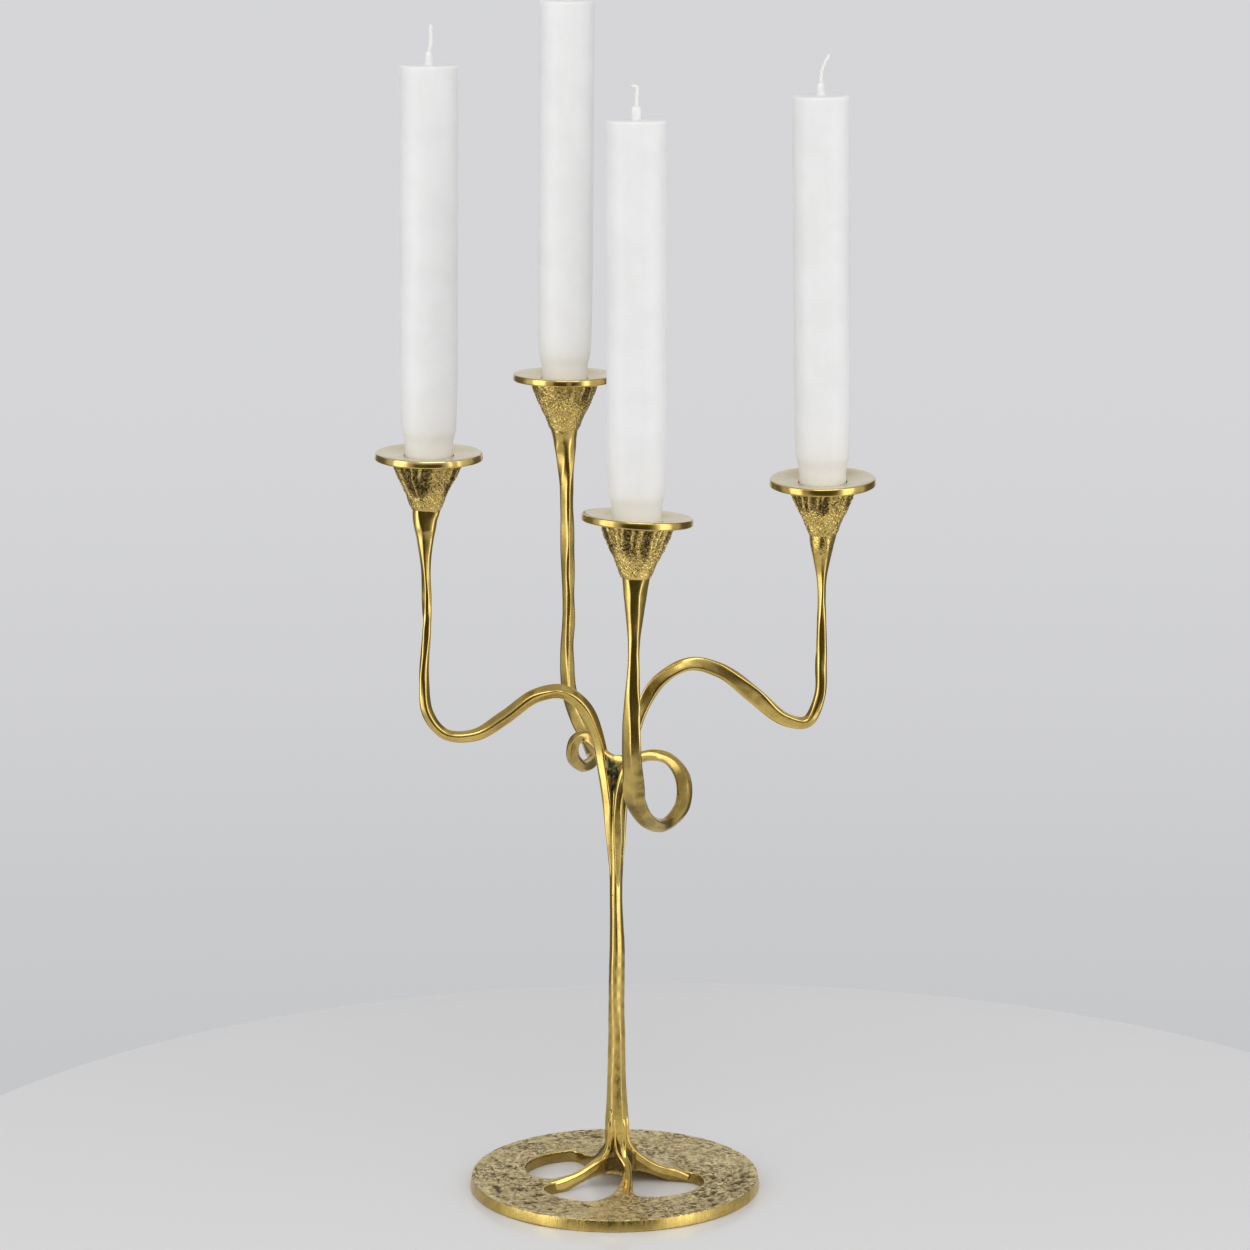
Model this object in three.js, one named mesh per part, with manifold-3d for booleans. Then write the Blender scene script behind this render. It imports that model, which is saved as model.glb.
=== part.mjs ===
// A four-armed brass candelabra with its candles, modelled in millimetres with +Z up.
// The origin stands on the table, under the middle of the object's bounding box.

import * as THREE from 'three';
import { mergeVertices } from 'three/addons/utils/BufferGeometryUtils.js';
import Module from 'manifold-3d';

const wasm = await Module();
wasm.setup();

// Fits
const seatGap = 0.3;            // between brazed or resting faces
const socketClearance = 0.45;   // around a candle's foot

// Base: a pierced disc whose middle rises as roots into a hub
const baseRadius = 65;
const plateThickness = 5.4;
const rimRound = 0.9;
const hubRadius = 5.15;
const hubTop = 30;
const rootReach = 30;           // radius where the roots run out into the plate
const hollowReach = 26;         // radius of the hollow under the roots
const hollowRise = 8;
const skirtLean = 0.17;         // how much higher the roots climb at the back than at the front
const skirtLeanAzimuth = 65;
const plateShift = -1;          // the disc is a little off the stem's axis
const tenonRadius = 2.3;
const tenonLength = 14;
const baseFacets = 54;
const openingPoints = 43;

// Stem and the fork where the arms' tails lie in its grooves
const neckRadius = 2.65;
const forkHeight = 190;
const stemTipRadius = 1.5;
const stemTipRise = 4;          // how far the stem's tip stands in the crotch above the fork's level
const stemTipLean = -0.9;
const tailReach = 52;           // how far below the fork the arms' tails run out
const tailSink = 0.3;           // how deep a tail's end lies in the stem
const tailTipWidth = 1.2;
const tailTipThickness = 1.4;
const ringsPerSpan = 3;
const sectionPoints = 10;
const squareness = 2.6;         // exponent of the bar's section: 2 is an ellipse, more is squarer

// Cups, pans and candles; heights in a head are counted down from the pan's top face
const panThickness = 2.5;
const panRound = 0.5;
const panFacets = 36;
const cupRimRadius = 14.65;
const cupWaistRadius = 10.05;
const cupWaistShare = 0.56;     // how far down the cup its waist lies
const cupFootRadius = 6.5;
const cupHeight = 17.7;
const fluteDepth = 0.45;
const fluteCount = 9;
const facetsPerFlute = 3;
const flareLength = 3;          // last stretch of an arm, where it flares into the cup's foot
const flareShare = 0.9;         // its width there, as a share of the foot's
const socketDepth = 11.5;
const socketFloorRadius = 7;
const spigotRadius = 3;
const spigotLength = 4.6;
const candleRadius = 12.5;
const candleFootRadius = 10.3;
const candleLength = 166;       // above the pan
const candleStep = 7.6;         // height of the full body above the pan
const stepStretch = 1.6;        // the step under the body is this much taller than it is wide
const candleRound = 1.1;
const candleFacets = 24;
const wickRadius = 0.6;
const wickRecess = 1.5;         // the wick ends this far above the socket's floor
const collarRadius = 1.7;
const collarHeight = 5.6;
const collarFlare = 0.8;        // small rounding where the wax climbs the wick

// Heads: where each pan's top face is centred, in plan and above the fork, how pan and candle lean,
// in degrees, and how much longer than candleLength the candle stands
const heads = {
  left: { x: -80.9, y: -16, rise: 145.5, panRadius: 23.5, pan: [0.5, 0.5], candle: [0, 0.5], extra: -0.5 },
  right: { x: 90.5, y: 18, rise: 128.5, panRadius: 23.5, pan: [2.5, -0.8], candle: [0.6, -0.8], extra: 1.6 },
  front: { x: 9.3, y: -84, rise: 128.1, panRadius: 23.2, pan: [-2.2, 2], candle: [-1, -0.4], extra: -1.7 },
  back: { x: -23.9, y: 90, rise: 164.8, panRadius: 23.5, pan: [-0.5, 0.4], candle: [-0.3, 0.5], extra: 2.7 },
};

// Wick ends, sideways and up from the top of the wax collar
const wickTips = {
  left: [[0, 0], [-0.9, 4], [0.3, 7.3], [0.7, 10.8]],
  right: [[0, 0], [0.4, 4.6], [1.6, 7.9], [3.8, 11.9]],
  front: [[0, 0], [0.3, 4], [0.2, 7.8], [-1.9, 8.2]],
  back: [[0, 0], [0.4, 4], [-0.3, 6.9], [-1.6, 9.6]],
};

// Arms: bar width and depth at each point of the route. Tail and bow points are counted from
// the fork, riser points from the foot of the cup.
const arms = {
  left: {
    azimuth: 191.3, across: true,
    bow: [
      [-3.4, -0.7, -30, 2.9, 3.1], [-4.6, -0.9, -12, 3.8, 4],
      [-8.2, -1.6, 15, 4.8, 5], [-14.4, -2.8, 30.2, 5.4, 5.2], [-24, -4.6, 37.4, 5.6, 5.2],
      [-36, -7, 36, 5.4, 5], [-49, -9.6, 27, 6, 5], [-62, -12.2, 19.8, 5, 5],
      [-74.6, -14.7, 20.6, 4.2, 5], [-82.3, -16.3, 30, 4.4, 4.8], [-83.9, -16.6, 45.3, 3.9, 4.6],
    ],
    riser: [[-1.4, 0, -57, 3.3, 4.4], [-1.2, 0, -31, 3.9, 4.6], [-0.6, 0, -17, 6.6, 6.8]],
  },
  right: {
    azimuth: 11.1, across: true,
    bow: [
      [2.9, 0.8, -30, 2.9, 3.1], [3.3, 1.1, -12, 3.9, 4],
      [4.6, 1.4, 4, 4.6, 4.6], [10.8, 2.4, 27, 5.2, 5], [18.8, 4, 40.6, 5.8, 5.2],
      [32, 6.4, 47.8, 6, 5], [45.5, 9, 44.4, 6.6, 5], [60.5, 12, 32.8, 7.2, 5],
      [74.6, 15, 21, 6, 5], [84.4, 16.9, 19.4, 4.8, 5], [90, 17.9, 31, 4.9, 4.8],
      [90.6, 18, 47, 4.8, 4.6],
    ],
    riser: [[0.1, 0, -42, 3.9, 4.4], [-0.1, 0, -28, 4.3, 4.6], [0, 0, -14, 7, 7]],
  },
  front: {
    azimuth: 276.1, across: false,
    bow: [
      [0.3, -2.9, -30, 3.1, 2.9], [0.8, -3.9, -10, 4, 3.8],
      [5.2, -5.2, 4.8, 4.4, 3.6], [13, -8.6, 9.8, 5, 4], [21.8, -14, 9.8, 5.8, 4],
      [28.6, -23, 3.4, 7, 4], [28.4, -34, -6.6, 6.8, 4], [21.4, -45, -12, 5.4, 4],
      [14, -57, -8.2, 6, 4.4], [8, -69, 3.6, 7.4, 4.8], [6.4, -78, 18, 7.8, 5],
      [6.4, -83, 36, 7.4, 5], [7.2, -84.6, 52, 6, 5],
    ],
    riser: [[-1.8, -0.6, -40, 5, 4.8], [-1.3, -0.2, -24, 5.8, 5.4], [-0.6, 0, -10, 8.8, 8.6]],
  },
  back: {
    azimuth: 104.9, across: false,
    bow: [
      [-0.3, 2.9, -30, 3.1, 2.9], [-1.4, 3.9, -10, 4, 3.8],
      [-6.4, 6, 8.4, 4.6, 3.6], [-13, 9.5, 14.4, 5.2, 4], [-18.4, 15, 11.6, 5.4, 4],
      [-19.6, 23, 2.6, 5.8, 4], [-15.6, 34, -4.6, 5.6, 4], [-11, 47, -5, 5.8, 4.2],
      [-12.6, 61, 0, 6.6, 4.6], [-18, 73, 8.6, 7.6, 5], [-22.4, 82, 20, 8.4, 5],
      [-23.4, 87.6, 36, 7.4, 5],
    ],
    riser: [
      [1.5, -1.4, -88, 5.6, 5], [1.2, -1, -54, 6.8, 5.4], [0.8, -0.4, -30, 6.6, 6], [0.2, 0, -12, 9.4, 9],
    ],
  },
};

const brassColour = 0xb08d45;
const waxColour = 0xf4f2ec;

const deg = THREE.MathUtils.degToRad;

// Three coordinates of a control point as a vector
const vec = ([x, y, z]) => new THREE.Vector3(x, y, z);

// The centre of a head's pan, on its top face
const panTop = (head) => new THREE.Vector3(head.x, head.y, forkHeight + head.rise);

// A closed solid from rings of equal size, stacked in order, with a fan at each end
function solidFromRings(rings) {
  const count = rings[0].length;
  const positions = rings.flat().flatMap((p) => [p.x, p.y, p.z]);
  const index = [];
  for (let row = 0; row + 1 < rings.length; row += 1) {
    for (let k = 0; k < count; k += 1) {
      const a = row * count + k;
      const b = row * count + ((k + 1) % count);
      index.push(a, b, b + count, a, b + count, a + count);
    }
  }
  const last = (rings.length - 1) * count;
  for (let k = 1; k + 1 < count; k += 1) {
    index.push(0, k + 1, k, last, last + k, last + k + 1);
  }
  const geometry = new THREE.BufferGeometry();
  geometry.setAttribute('position', new THREE.Float32BufferAttribute(positions, 3));
  geometry.setIndex(index);
  return geometry;
}

// A revolved solid about Z from [radius, height] points
function revolve(profile, segments) {
  const points = profile.map(([r, z]) => new THREE.Vector2(r, z));
  return new THREE.LatheGeometry(points, segments).rotateX(Math.PI / 2);
}

function toSolid(geometry) {
  const plain = geometry.clone();
  plain.deleteAttribute('normal');
  plain.deleteAttribute('uv');
  const merged = mergeVertices(plain, 1e-4);
  return new wasm.Manifold(new wasm.Mesh({
    numProp: 3,
    vertProperties: Float32Array.from(merged.attributes.position.array),
    triVerts: Uint32Array.from(merged.index.array),
  }));
}

function fromSolid(solid) {
  const mesh = solid.getMesh();
  const geometry = new THREE.BufferGeometry();
  geometry.setAttribute('position', new THREE.BufferAttribute(mesh.vertProperties, 3));
  geometry.setIndex(new THREE.BufferAttribute(mesh.triVerts, 1));
  return geometry;
}

function cut(geometry, cutters) {
  let solid = toSolid(geometry);
  for (const cutter of cutters) {
    solid = solid.subtract(toSolid(cutter));
  }
  return fromSolid(solid);
}

const brass = (roughness) => new THREE.MeshStandardMaterial({ color: brassColour, roughness, metalness: 1 });
const wax = () => new THREE.MeshStandardMaterial({ color: waxColour, roughness: 0.4, metalness: 0 });

const candelabra = new THREE.Group();
const middle = new THREE.Vector2(
  (heads.left.x - heads.left.panRadius + heads.right.x + heads.right.panRadius) / 2,
  (heads.front.y - heads.front.panRadius + heads.back.y + heads.back.panRadius) / 2,
);
candelabra.position.set(-middle.x, -middle.y, 0);

function add(parent, name, geometry, material) {
  const mesh = new THREE.Mesh(geometry, material);
  mesh.name = name;
  parent.add(mesh);
  return mesh;
}

// Base

// The roots' top line from the hub out to the plate: shares of the reach and of the rise
const rootShape = [[0, 1], [0.018, 0.634], [0.115, 0.45], [0.276, 0.305], [0.577, 0.114], [1, 0]];

function rootLine() {
  const reach = rootReach - hubRadius;
  const rise = hubTop - plateThickness;
  const points = rootShape.map(([r, z]) => [hubRadius + r * reach, plateThickness + z * rise]);
  const curve = new THREE.SplineCurve(points.map(([r, z]) => new THREE.Vector2(r, z)));
  return curve.getPoints(9).map((p) => [p.x, p.y]);
}

// The hollow under the roots: height falls to nothing at its reach
function hollowLine() {
  const steps = 5;
  return Array.from({ length: steps }, (unused, k) => {
    const share = 1 - k / steps;
    return [hollowReach * share, hollowRise * (1 - share ** 2) ** 1.5];
  });
}

// Openings between the roots, in plan from the stem's axis: outlines as closed splines, whose points
// are shares of the disc's radius
const openings = [
  [[-0.638, 0.138], [-0.585, 0.308], [-0.454, 0.446], [-0.3, 0.485], [-0.208, 0.338], [-0.132, 0.154],
    [-0.123, 0.038], [-0.194, -0.049], [-0.323, -0.102], [-0.477, -0.111], [-0.594, -0.031]],
  [[-0.498, -0.338], [-0.423, -0.206], [-0.277, -0.135], [-0.132, -0.102], [-0.037, -0.105],
    [0.037, -0.148], [0.046, -0.277], [-0.009, -0.477], [-0.169, -0.591], [-0.369, -0.523]],
  [[0.086, -0.132], [0.094, -0.308], [0.129, -0.468], [0.277, -0.498], [0.471, -0.409], [0.594, -0.215],
    [0.554, -0.022], [0.415, 0.052], [0.24, 0.025], [0.12, -0.04]],
];

function opening(outline) {
  const points = outline.map(([x, y]) => new THREE.Vector3(x, y, 0).multiplyScalar(baseRadius));
  const curve = new THREE.CatmullRomCurve3(points, true, 'centripetal');
  const around = curve.getPoints(openingPoints + 1).slice(0, -1).map((p) => new THREE.Vector2(p.x, p.y));
  const depth = 2 * hubTop;
  const cutter = new THREE.ExtrudeGeometry(new THREE.Shape(around), { depth, bevelEnabled: false });
  return cutter.translate(0, 0, -depth / 2);
}

function makeBase() {
  const profile = [
    [0, hubTop - tenonLength - seatGap], [tenonRadius + seatGap, hubTop - tenonLength - seatGap],
    [tenonRadius + seatGap, hubTop], ...rootLine(),
    [baseRadius - rimRound, plateThickness], [baseRadius, plateThickness - rimRound],
    [baseRadius, rimRound], [baseRadius - rimRound, 0], ...hollowLine(), [0, hollowRise],
  ];
  const disc = revolve(profile.reverse(), baseFacets);
  // The skirt climbs a little higher at the back, and the disc is off the stem's axis
  const spots = disc.attributes.position;
  const rise = hubTop - plateThickness;
  for (let k = 0; k < spots.count; k += 1) {
    const radius = Math.hypot(spots.getX(k), spots.getY(k));
    const share = (spots.getZ(k) - plateThickness) / rise;
    if (radius > (tenonRadius + hubRadius) / 2 && share > 0) {
      const facing = Math.cos(Math.atan2(spots.getY(k), spots.getX(k)) - deg(skirtLeanAzimuth));
      const halfway = 4 * share * (1 - share); // 1 halfway up, nothing at the hub and the plate
      spots.setZ(k, spots.getZ(k) + rise * share * skirtLean * facing * halfway);
    }
    const outward = Math.max(0, (radius - rootReach) / (baseRadius - rootReach));
    spots.setX(k, spots.getX(k) + plateShift * outward);
  }
  return cut(disc, openings.map(opening));
}

add(candelabra, 'base', makeBase(), brass(0.5));

// Arms: a bar of rounded, nearly flat-sided section carried along a hand-bent route

function section(centre, wide, deep, halfWidth, halfDepth) {
  return Array.from({ length: sectionPoints }, (unused, k) => {
    const angle = (2 * Math.PI * (k + 0.5)) / sectionPoints;
    const across = Math.sign(Math.cos(angle)) * Math.abs(Math.cos(angle)) ** (2 / squareness);
    const along = Math.sign(Math.sin(angle)) * Math.abs(Math.sin(angle)) ** (2 / squareness);
    return centre.clone().addScaledVector(wide, halfWidth * across).addScaledVector(deep, halfDepth * along);
  });
}

// The direction in which a head's pan faces
function headAxis(tilt) {
  return new THREE.Vector3(0, 0, 1).applyEuler(new THREE.Euler(deg(tilt[0]), deg(tilt[1]), 0));
}

// Depth of the cup's foot below the pan's top
const cupFoot = panThickness + seatGap + cupHeight;

function armRoute(name) {
  const head = heads[name];
  const arm = arms[name];
  const axis = headAxis(head.pan);
  const foot = panTop(head).addScaledVector(axis, -cupFoot - seatGap);
  const side = vec([Math.cos(deg(arm.azimuth)), Math.sin(deg(arm.azimuth)), 0]);
  const tail = side.clone().multiplyScalar(neckRadius - tailSink).setZ(forkHeight - tailReach);
  const flare = foot.clone().addScaledVector(axis, -flareLength);
  const footWidth = 2 * cupFootRadius;
  const route = [
    { at: tail, width: tailTipWidth, depth: tailTipThickness },
    ...arm.bow.map(([x, y, z, w, d]) => ({ at: vec([x, y, forkHeight + z]), width: w, depth: d })),
    ...arm.riser.map(([x, y, z, w, d]) => ({ at: foot.clone().add(vec([x, y, z])), width: w, depth: d })),
    { at: flare, width: flareShare * footWidth, depth: flareShare * footWidth },
    { at: foot, width: footWidth, depth: footWidth },
  ];
  return { route, axis, side, foot };
}

function armSolid(name, grow = 0) {
  const { route, axis, side, foot } = armRoute(name);
  const guide = arms[name].across ? new THREE.Vector3(-side.y, side.x, 0) : side;
  const path = new THREE.CatmullRomCurve3(route.map((stop) => stop.at), false, 'centripetal');
  const sizes = new THREE.CatmullRomCurve3(
    route.map((stop) => vec([stop.width, stop.depth, 0])), false, 'catmullrom',
  );
  const steps = (route.length - 1) * ringsPerSpan;
  const rings = [];
  let tangent = axis;
  for (let k = 0; k <= steps; k += 1) {
    const t = k / steps;
    tangent = k === steps ? axis : path.getTangent(t);
    const centre = path.getPoint(t);
    if (k === 0) {
      centre.addScaledVector(tangent, -grow);
    }
    const deep = guide.clone().addScaledVector(tangent, -guide.dot(tangent)).normalize();
    const wide = new THREE.Vector3().crossVectors(deep, tangent);
    const size = sizes.getPoint(t);
    rings.push(section(centre, wide, deep, size.x / 2 + grow, size.y / 2 + grow));
  }
  const deep = guide.clone().addScaledVector(axis, -guide.dot(axis)).normalize();
  const wide = new THREE.Vector3().crossVectors(deep, axis);
  const spigotEnd = foot.clone().addScaledVector(axis, spigotLength);
  rings.push(section(foot, wide, deep, spigotRadius, spigotRadius));
  rings.push(section(spigotEnd, wide, deep, spigotRadius, spigotRadius));
  return solidFromRings(rings);
}

// Stem: foot on the hub, tenon in it, a waist below the fork, and a groove for each arm's tail

function makeStem() {
  const foot = hubTop + seatGap;
  const rise = forkHeight - foot;
  // Shares of the rise, sideways bend, and radius as a share from the neck's to the hub's
  const shape = [
    [0, 0, 1], [0.04, 0, 0.74], [0.09, -0.1, 0.56], [0.17, -0.2, 0.4], [0.3, -0.2, 0.3], [0.42, 0.1, 0.28],
    [0.5, 0.3, 0.2], [0.58, 0, 0.04], [0.66, -0.3, 0], [0.74, -0.2, 0.12], [0.82, 0, 0.3], [0.9, 0, 0.2],
  ];
  const ring = (x, z, radius) => section(vec([x, 0, z]), vec([0, 1, 0]), vec([-1, 0, 0]), radius, radius);
  const rings = [
    ring(0, hubTop - tenonLength, tenonRadius), ring(0, foot, tenonRadius),
    ...shape.map(([share, bend, girth]) => ring(
      bend, foot + share * rise, THREE.MathUtils.lerp(neckRadius, hubRadius, girth),
    )),
    ring(stemTipLean, forkHeight + stemTipRise, stemTipRadius),
  ];
  return cut(solidFromRings(rings), Object.keys(arms).map((name) => armSolid(name, seatGap)));
}

add(candelabra, 'stem', makeStem(), brass(0.28));
for (const name of Object.keys(arms)) {
  add(candelabra, `arm_${name}`, armSolid(name), brass(0.25));
}

// Heads: cup, drip pan, candle and wick

function makeCup() {
  const top = -panThickness - seatGap;
  const foot = top - cupHeight;
  const outer = new THREE.SplineCurve([
    new THREE.Vector2(cupRimRadius, top), new THREE.Vector2(cupWaistRadius, top - cupHeight * cupWaistShare),
    new THREE.Vector2(cupFootRadius, foot),
  ]).getPoints(7).map((p) => [p.x, p.y]);
  const spigotHole = foot + spigotLength + 2 * seatGap;
  const profile = [
    [0, -socketDepth], [socketFloorRadius, -socketDepth],
    [candleFootRadius + socketClearance, top], ...outer,
    [spigotRadius + seatGap, foot], [spigotRadius + seatGap, spigotHole], [0, spigotHole],
  ];
  const cup = revolve(profile.reverse(), fluteCount * facetsPerFlute);
  // As-cast flutes run down the outside and fade out at the rim and foot
  const spots = cup.attributes.position;
  for (let k = 0; k < spots.count; k += 1) {
    const [x, y, z] = [spots.getX(k), spots.getY(k), spots.getZ(k)];
    const radius = Math.hypot(x, y);
    const share = (top - z) / cupHeight;
    const inner = THREE.MathUtils.lerp(candleFootRadius + socketClearance, spigotRadius + seatGap, share);
    if (radius > inner + seatGap) {
      const wave = 0.5 - 0.5 * Math.cos(fluteCount * Math.atan2(y, x));
      const scale = 1 - (fluteDepth * wave * Math.sin(Math.PI * share)) / radius;
      spots.setXY(k, x * scale, y * scale);
    }
  }
  return cup;
}

function makePan(radius) {
  const hole = candleFootRadius + socketClearance;
  return revolve([
    [hole, 0], [hole, -panThickness], [radius - panRound, -panThickness], [radius, -panThickness + panRound],
    [radius, -panRound], [radius - panRound, 0], [hole, 0],
  ], panFacets);
}

function makeCandle(length) {
  const bore = wickRadius + seatGap;
  const bottom = -socketDepth + seatGap;
  const reach = candleRadius - candleFootRadius;
  const step = [0, 1, 2, 3].map((k) => {
    const turn = (k / 3) * (Math.PI / 2);
    return [candleFootRadius + reach * Math.sin(turn), candleStep - stepStretch * reach * Math.cos(turn)];
  });
  return revolve([
    [bore, bottom], [socketFloorRadius - socketClearance, bottom], [candleFootRadius, -panThickness],
    ...step, [candleRadius, length - candleRound], [candleRadius - candleRound, length],
    [collarRadius + collarFlare, length], [collarRadius, length + collarFlare],
    [(bore + collarRadius) / 2, length + collarHeight], [bore, length + collarHeight], [bore, bottom],
  ], candleFacets);
}

function makeWick(length, tips) {
  const foot = new THREE.Vector3(0, 0, -socketDepth + wickRecess);
  const points = tips.map(([x, z]) => new THREE.Vector3(x, 0, length + collarHeight + z));
  const bend = new THREE.CatmullRomCurve3(points, false, 'centripetal');
  const bends = 8;
  const wide = new THREE.Vector3(0, 1, 0);
  const corners = [0, 1, 2, 3, 4, 5].map((k) => (k * Math.PI) / 3);
  const ring = (at, tangent) => {
    const deep = new THREE.Vector3().crossVectors(wide, tangent).normalize();
    return corners.map((angle) => at.clone().addScaledVector(deep, wickRadius * Math.cos(angle))
      .addScaledVector(wide, wickRadius * Math.sin(angle)));
  };
  const rings = bend.getPoints(bends).map((at, k) => ring(at, bend.getTangent(k / bends)));
  return solidFromRings([ring(foot, new THREE.Vector3(0, 0, 1)), ...rings]);
}

// A group at a head's pan, turned by its lean
function headGroup(head, lean) {
  const group = new THREE.Group();
  group.position.copy(panTop(head));
  group.rotation.set(deg(lean[0]), deg(lean[1]), 0);
  candelabra.add(group);
  return group;
}

for (const [name, head] of Object.entries(heads)) {
  const bowl = headGroup(head, head.pan);
  add(bowl, `cup_${name}`, makeCup(), brass(0.45));
  add(bowl, `drip_pan_${name}`, makePan(head.panRadius), brass(0.12));

  const light = headGroup(head, head.candle);
  const length = candleLength + head.extra;
  add(light, `candle_${name}`, makeCandle(length), wax());
  add(light, `wick_${name}`, makeWick(length, wickTips[name]), wax());
}

export default candelabra;
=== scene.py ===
import math

import bpy
import numpy as np
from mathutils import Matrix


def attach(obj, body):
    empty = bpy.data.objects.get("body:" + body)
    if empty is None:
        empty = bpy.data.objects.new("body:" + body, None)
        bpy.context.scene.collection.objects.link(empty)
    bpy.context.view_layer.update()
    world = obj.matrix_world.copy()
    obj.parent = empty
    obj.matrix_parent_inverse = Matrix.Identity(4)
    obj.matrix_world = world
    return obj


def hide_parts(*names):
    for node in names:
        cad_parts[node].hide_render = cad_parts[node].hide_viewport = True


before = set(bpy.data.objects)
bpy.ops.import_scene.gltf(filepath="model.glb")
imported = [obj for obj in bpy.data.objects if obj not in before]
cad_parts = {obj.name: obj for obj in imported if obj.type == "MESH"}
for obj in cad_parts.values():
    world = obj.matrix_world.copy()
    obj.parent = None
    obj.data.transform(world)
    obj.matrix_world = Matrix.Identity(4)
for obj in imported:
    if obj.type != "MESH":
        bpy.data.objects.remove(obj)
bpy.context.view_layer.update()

print("frame loaded:", len(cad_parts), "nodes")

# Every shape below is worked out in millimetres from the stem's axis. The frame's origin lies under
# the middle of the whole object's box instead, so each mesh is shifted by this as it is made.
middle = np.array([4.8, 3.15, 0.0])


# Shapes as whole arrays

def meshFromArrays(name, points, faces, **fields):
    # points: n x 3 in millimetres; faces: a list of index arrays, one for each number of corners.
    # The signed volume, a sum of triple products over fans of triangles, says whether the faces
    # look outward, and turns them all round if they don't.
    fans = [np.stack([f[:, 0], f[:, k], f[:, k + 1]], 1) for f in faces for k in range(1, f.shape[1] - 1)]
    tris = points[np.concatenate(fans)]
    if np.einsum("ij,ij->i", tris[:, 0], np.cross(tris[:, 1], tris[:, 2])).sum() < 0:
        faces = [f[:, ::-1] for f in faces]
    corners = np.concatenate([f.ravel() for f in faces])
    sides = np.concatenate([np.full(len(f), f.shape[1]) for f in faces])
    mesh = bpy.data.meshes.new(name)
    mesh.vertices.add(len(points))
    mesh.vertices.foreach_set("co", ((points - middle) / 1000).astype(np.float32).ravel())
    mesh.loops.add(len(corners))
    mesh.loops.foreach_set("vertex_index", corners.astype(np.int32))
    mesh.polygons.add(len(sides))
    mesh.polygons.foreach_set("loop_start", np.concatenate([[0], np.cumsum(sides)[:-1]]).astype(np.int32))
    mesh.update(calc_edges=True)
    mesh.validate()
    mesh.shade_smooth()
    for field, values in fields.items():
        addField(mesh, field, values)
    piece = bpy.data.objects.new(name, mesh)
    bpy.context.scene.collection.objects.link(piece)
    return piece


def addField(mesh, field, values):
    # A value for every point, which the materials read by its name
    layer = mesh.attributes.new(field, "FLOAT", "POINT")
    layer.data.foreach_set("value", np.asarray(values, np.float32).ravel())


def gridFaces(rows, columns):
    # Four-cornered faces between neighbouring points of a rows x columns grid, joined round each row
    r, c = np.meshgrid(np.arange(rows - 1), np.arange(columns), indexing="ij")
    n = (c + 1) % columns
    corners = [r * columns + c, r * columns + n, (r + 1) * columns + n, (r + 1) * columns + c]
    return np.stack(corners, -1).reshape(-1, 4)


def tubeFromRings(name, rings, **fields):
    # rings: rows x columns x 3, each row a closed loop; both ends are closed by a fan to their mean
    rows, columns = rings.shape[:2]
    points = np.concatenate([rings.reshape(-1, 3), rings[:1].mean(1), rings[-1:].mean(1)])
    around = np.arange(columns)
    following = (around + 1) % columns
    first = np.stack([np.full(columns, rows * columns), following, around], 1)
    offset = (rows - 1) * columns
    last = np.stack([np.full(columns, rows * columns + 1), offset + around, offset + following], 1)
    padded = {k: np.concatenate([v.ravel(), [v[0].mean(), v[-1].mean()]]) for k, v in fields.items()}
    return meshFromArrays(name, points, [gridFaces(rows, columns), np.concatenate([first, last])], **padded)


def ripple(points, size, seed, count=16):
    # A soft random field: the sum of sine waves in random directions, each about `size` millimetres
    # long, divided so that its spread is near one
    rng = np.random.default_rng(seed)
    heading = unit(rng.normal(size=(count, 3)))
    heading *= (2 * np.pi / size) * rng.uniform(0.6, 1.5, (count, 1))
    phase = rng.uniform(0, 2 * np.pi, count)
    waves = np.sin(points.reshape(-1, 3) @ heading.T + phase).sum(1)
    return waves.reshape(points.shape[:-1]) / math.sqrt(count / 2)


def wavers(along, size, seed, sides, count):
    # One slow ripple along a bar for each of its sides
    line = np.stack([along, 0 * along, 0 * along], 1)
    return np.stack([ripple(line, size, seed + side, count) for side in range(sides)], 1)


def smoothStep(low, high, value):
    # Nothing below low, one above high, and the curve 3t2 - 2t3 between them
    t = np.clip((value - low) / (high - low), 0, 1)
    return t * t * (3 - 2 * t)


def bell(points, place, size):
    # One at a place, falling off as exp(-distance2 / size2)
    return np.exp(-np.sum(((points - place) / size) ** 2, -1))


def unit(vectors):
    return vectors / np.linalg.norm(vectors, axis=-1, keepdims=True)


def wrapped(angle):
    # The same angle between minus and plus half a turn
    return (angle + np.pi) % (2 * np.pi) - np.pi


def fullTurn(count):
    return np.linspace(0, 2 * np.pi, count, endpoint=False)


def roundAxis(radius, height, angles):
    # Points at a radius and height, turned by the angles about the upright axis
    radius, height, angles = np.broadcast_arrays(radius, height, angles)
    return np.stack([radius * np.cos(angles), radius * np.sin(angles), height], -1)


def ringsAlong(points, first, second, radius, angles):
    # A ring about each point of a path: point + radius (first cos angle + second sin angle)
    return points[:, None] + first[:, None] * (radius * np.cos(angles))[..., None] \
        + second[:, None] * (radius * np.sin(angles))[..., None]


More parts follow.
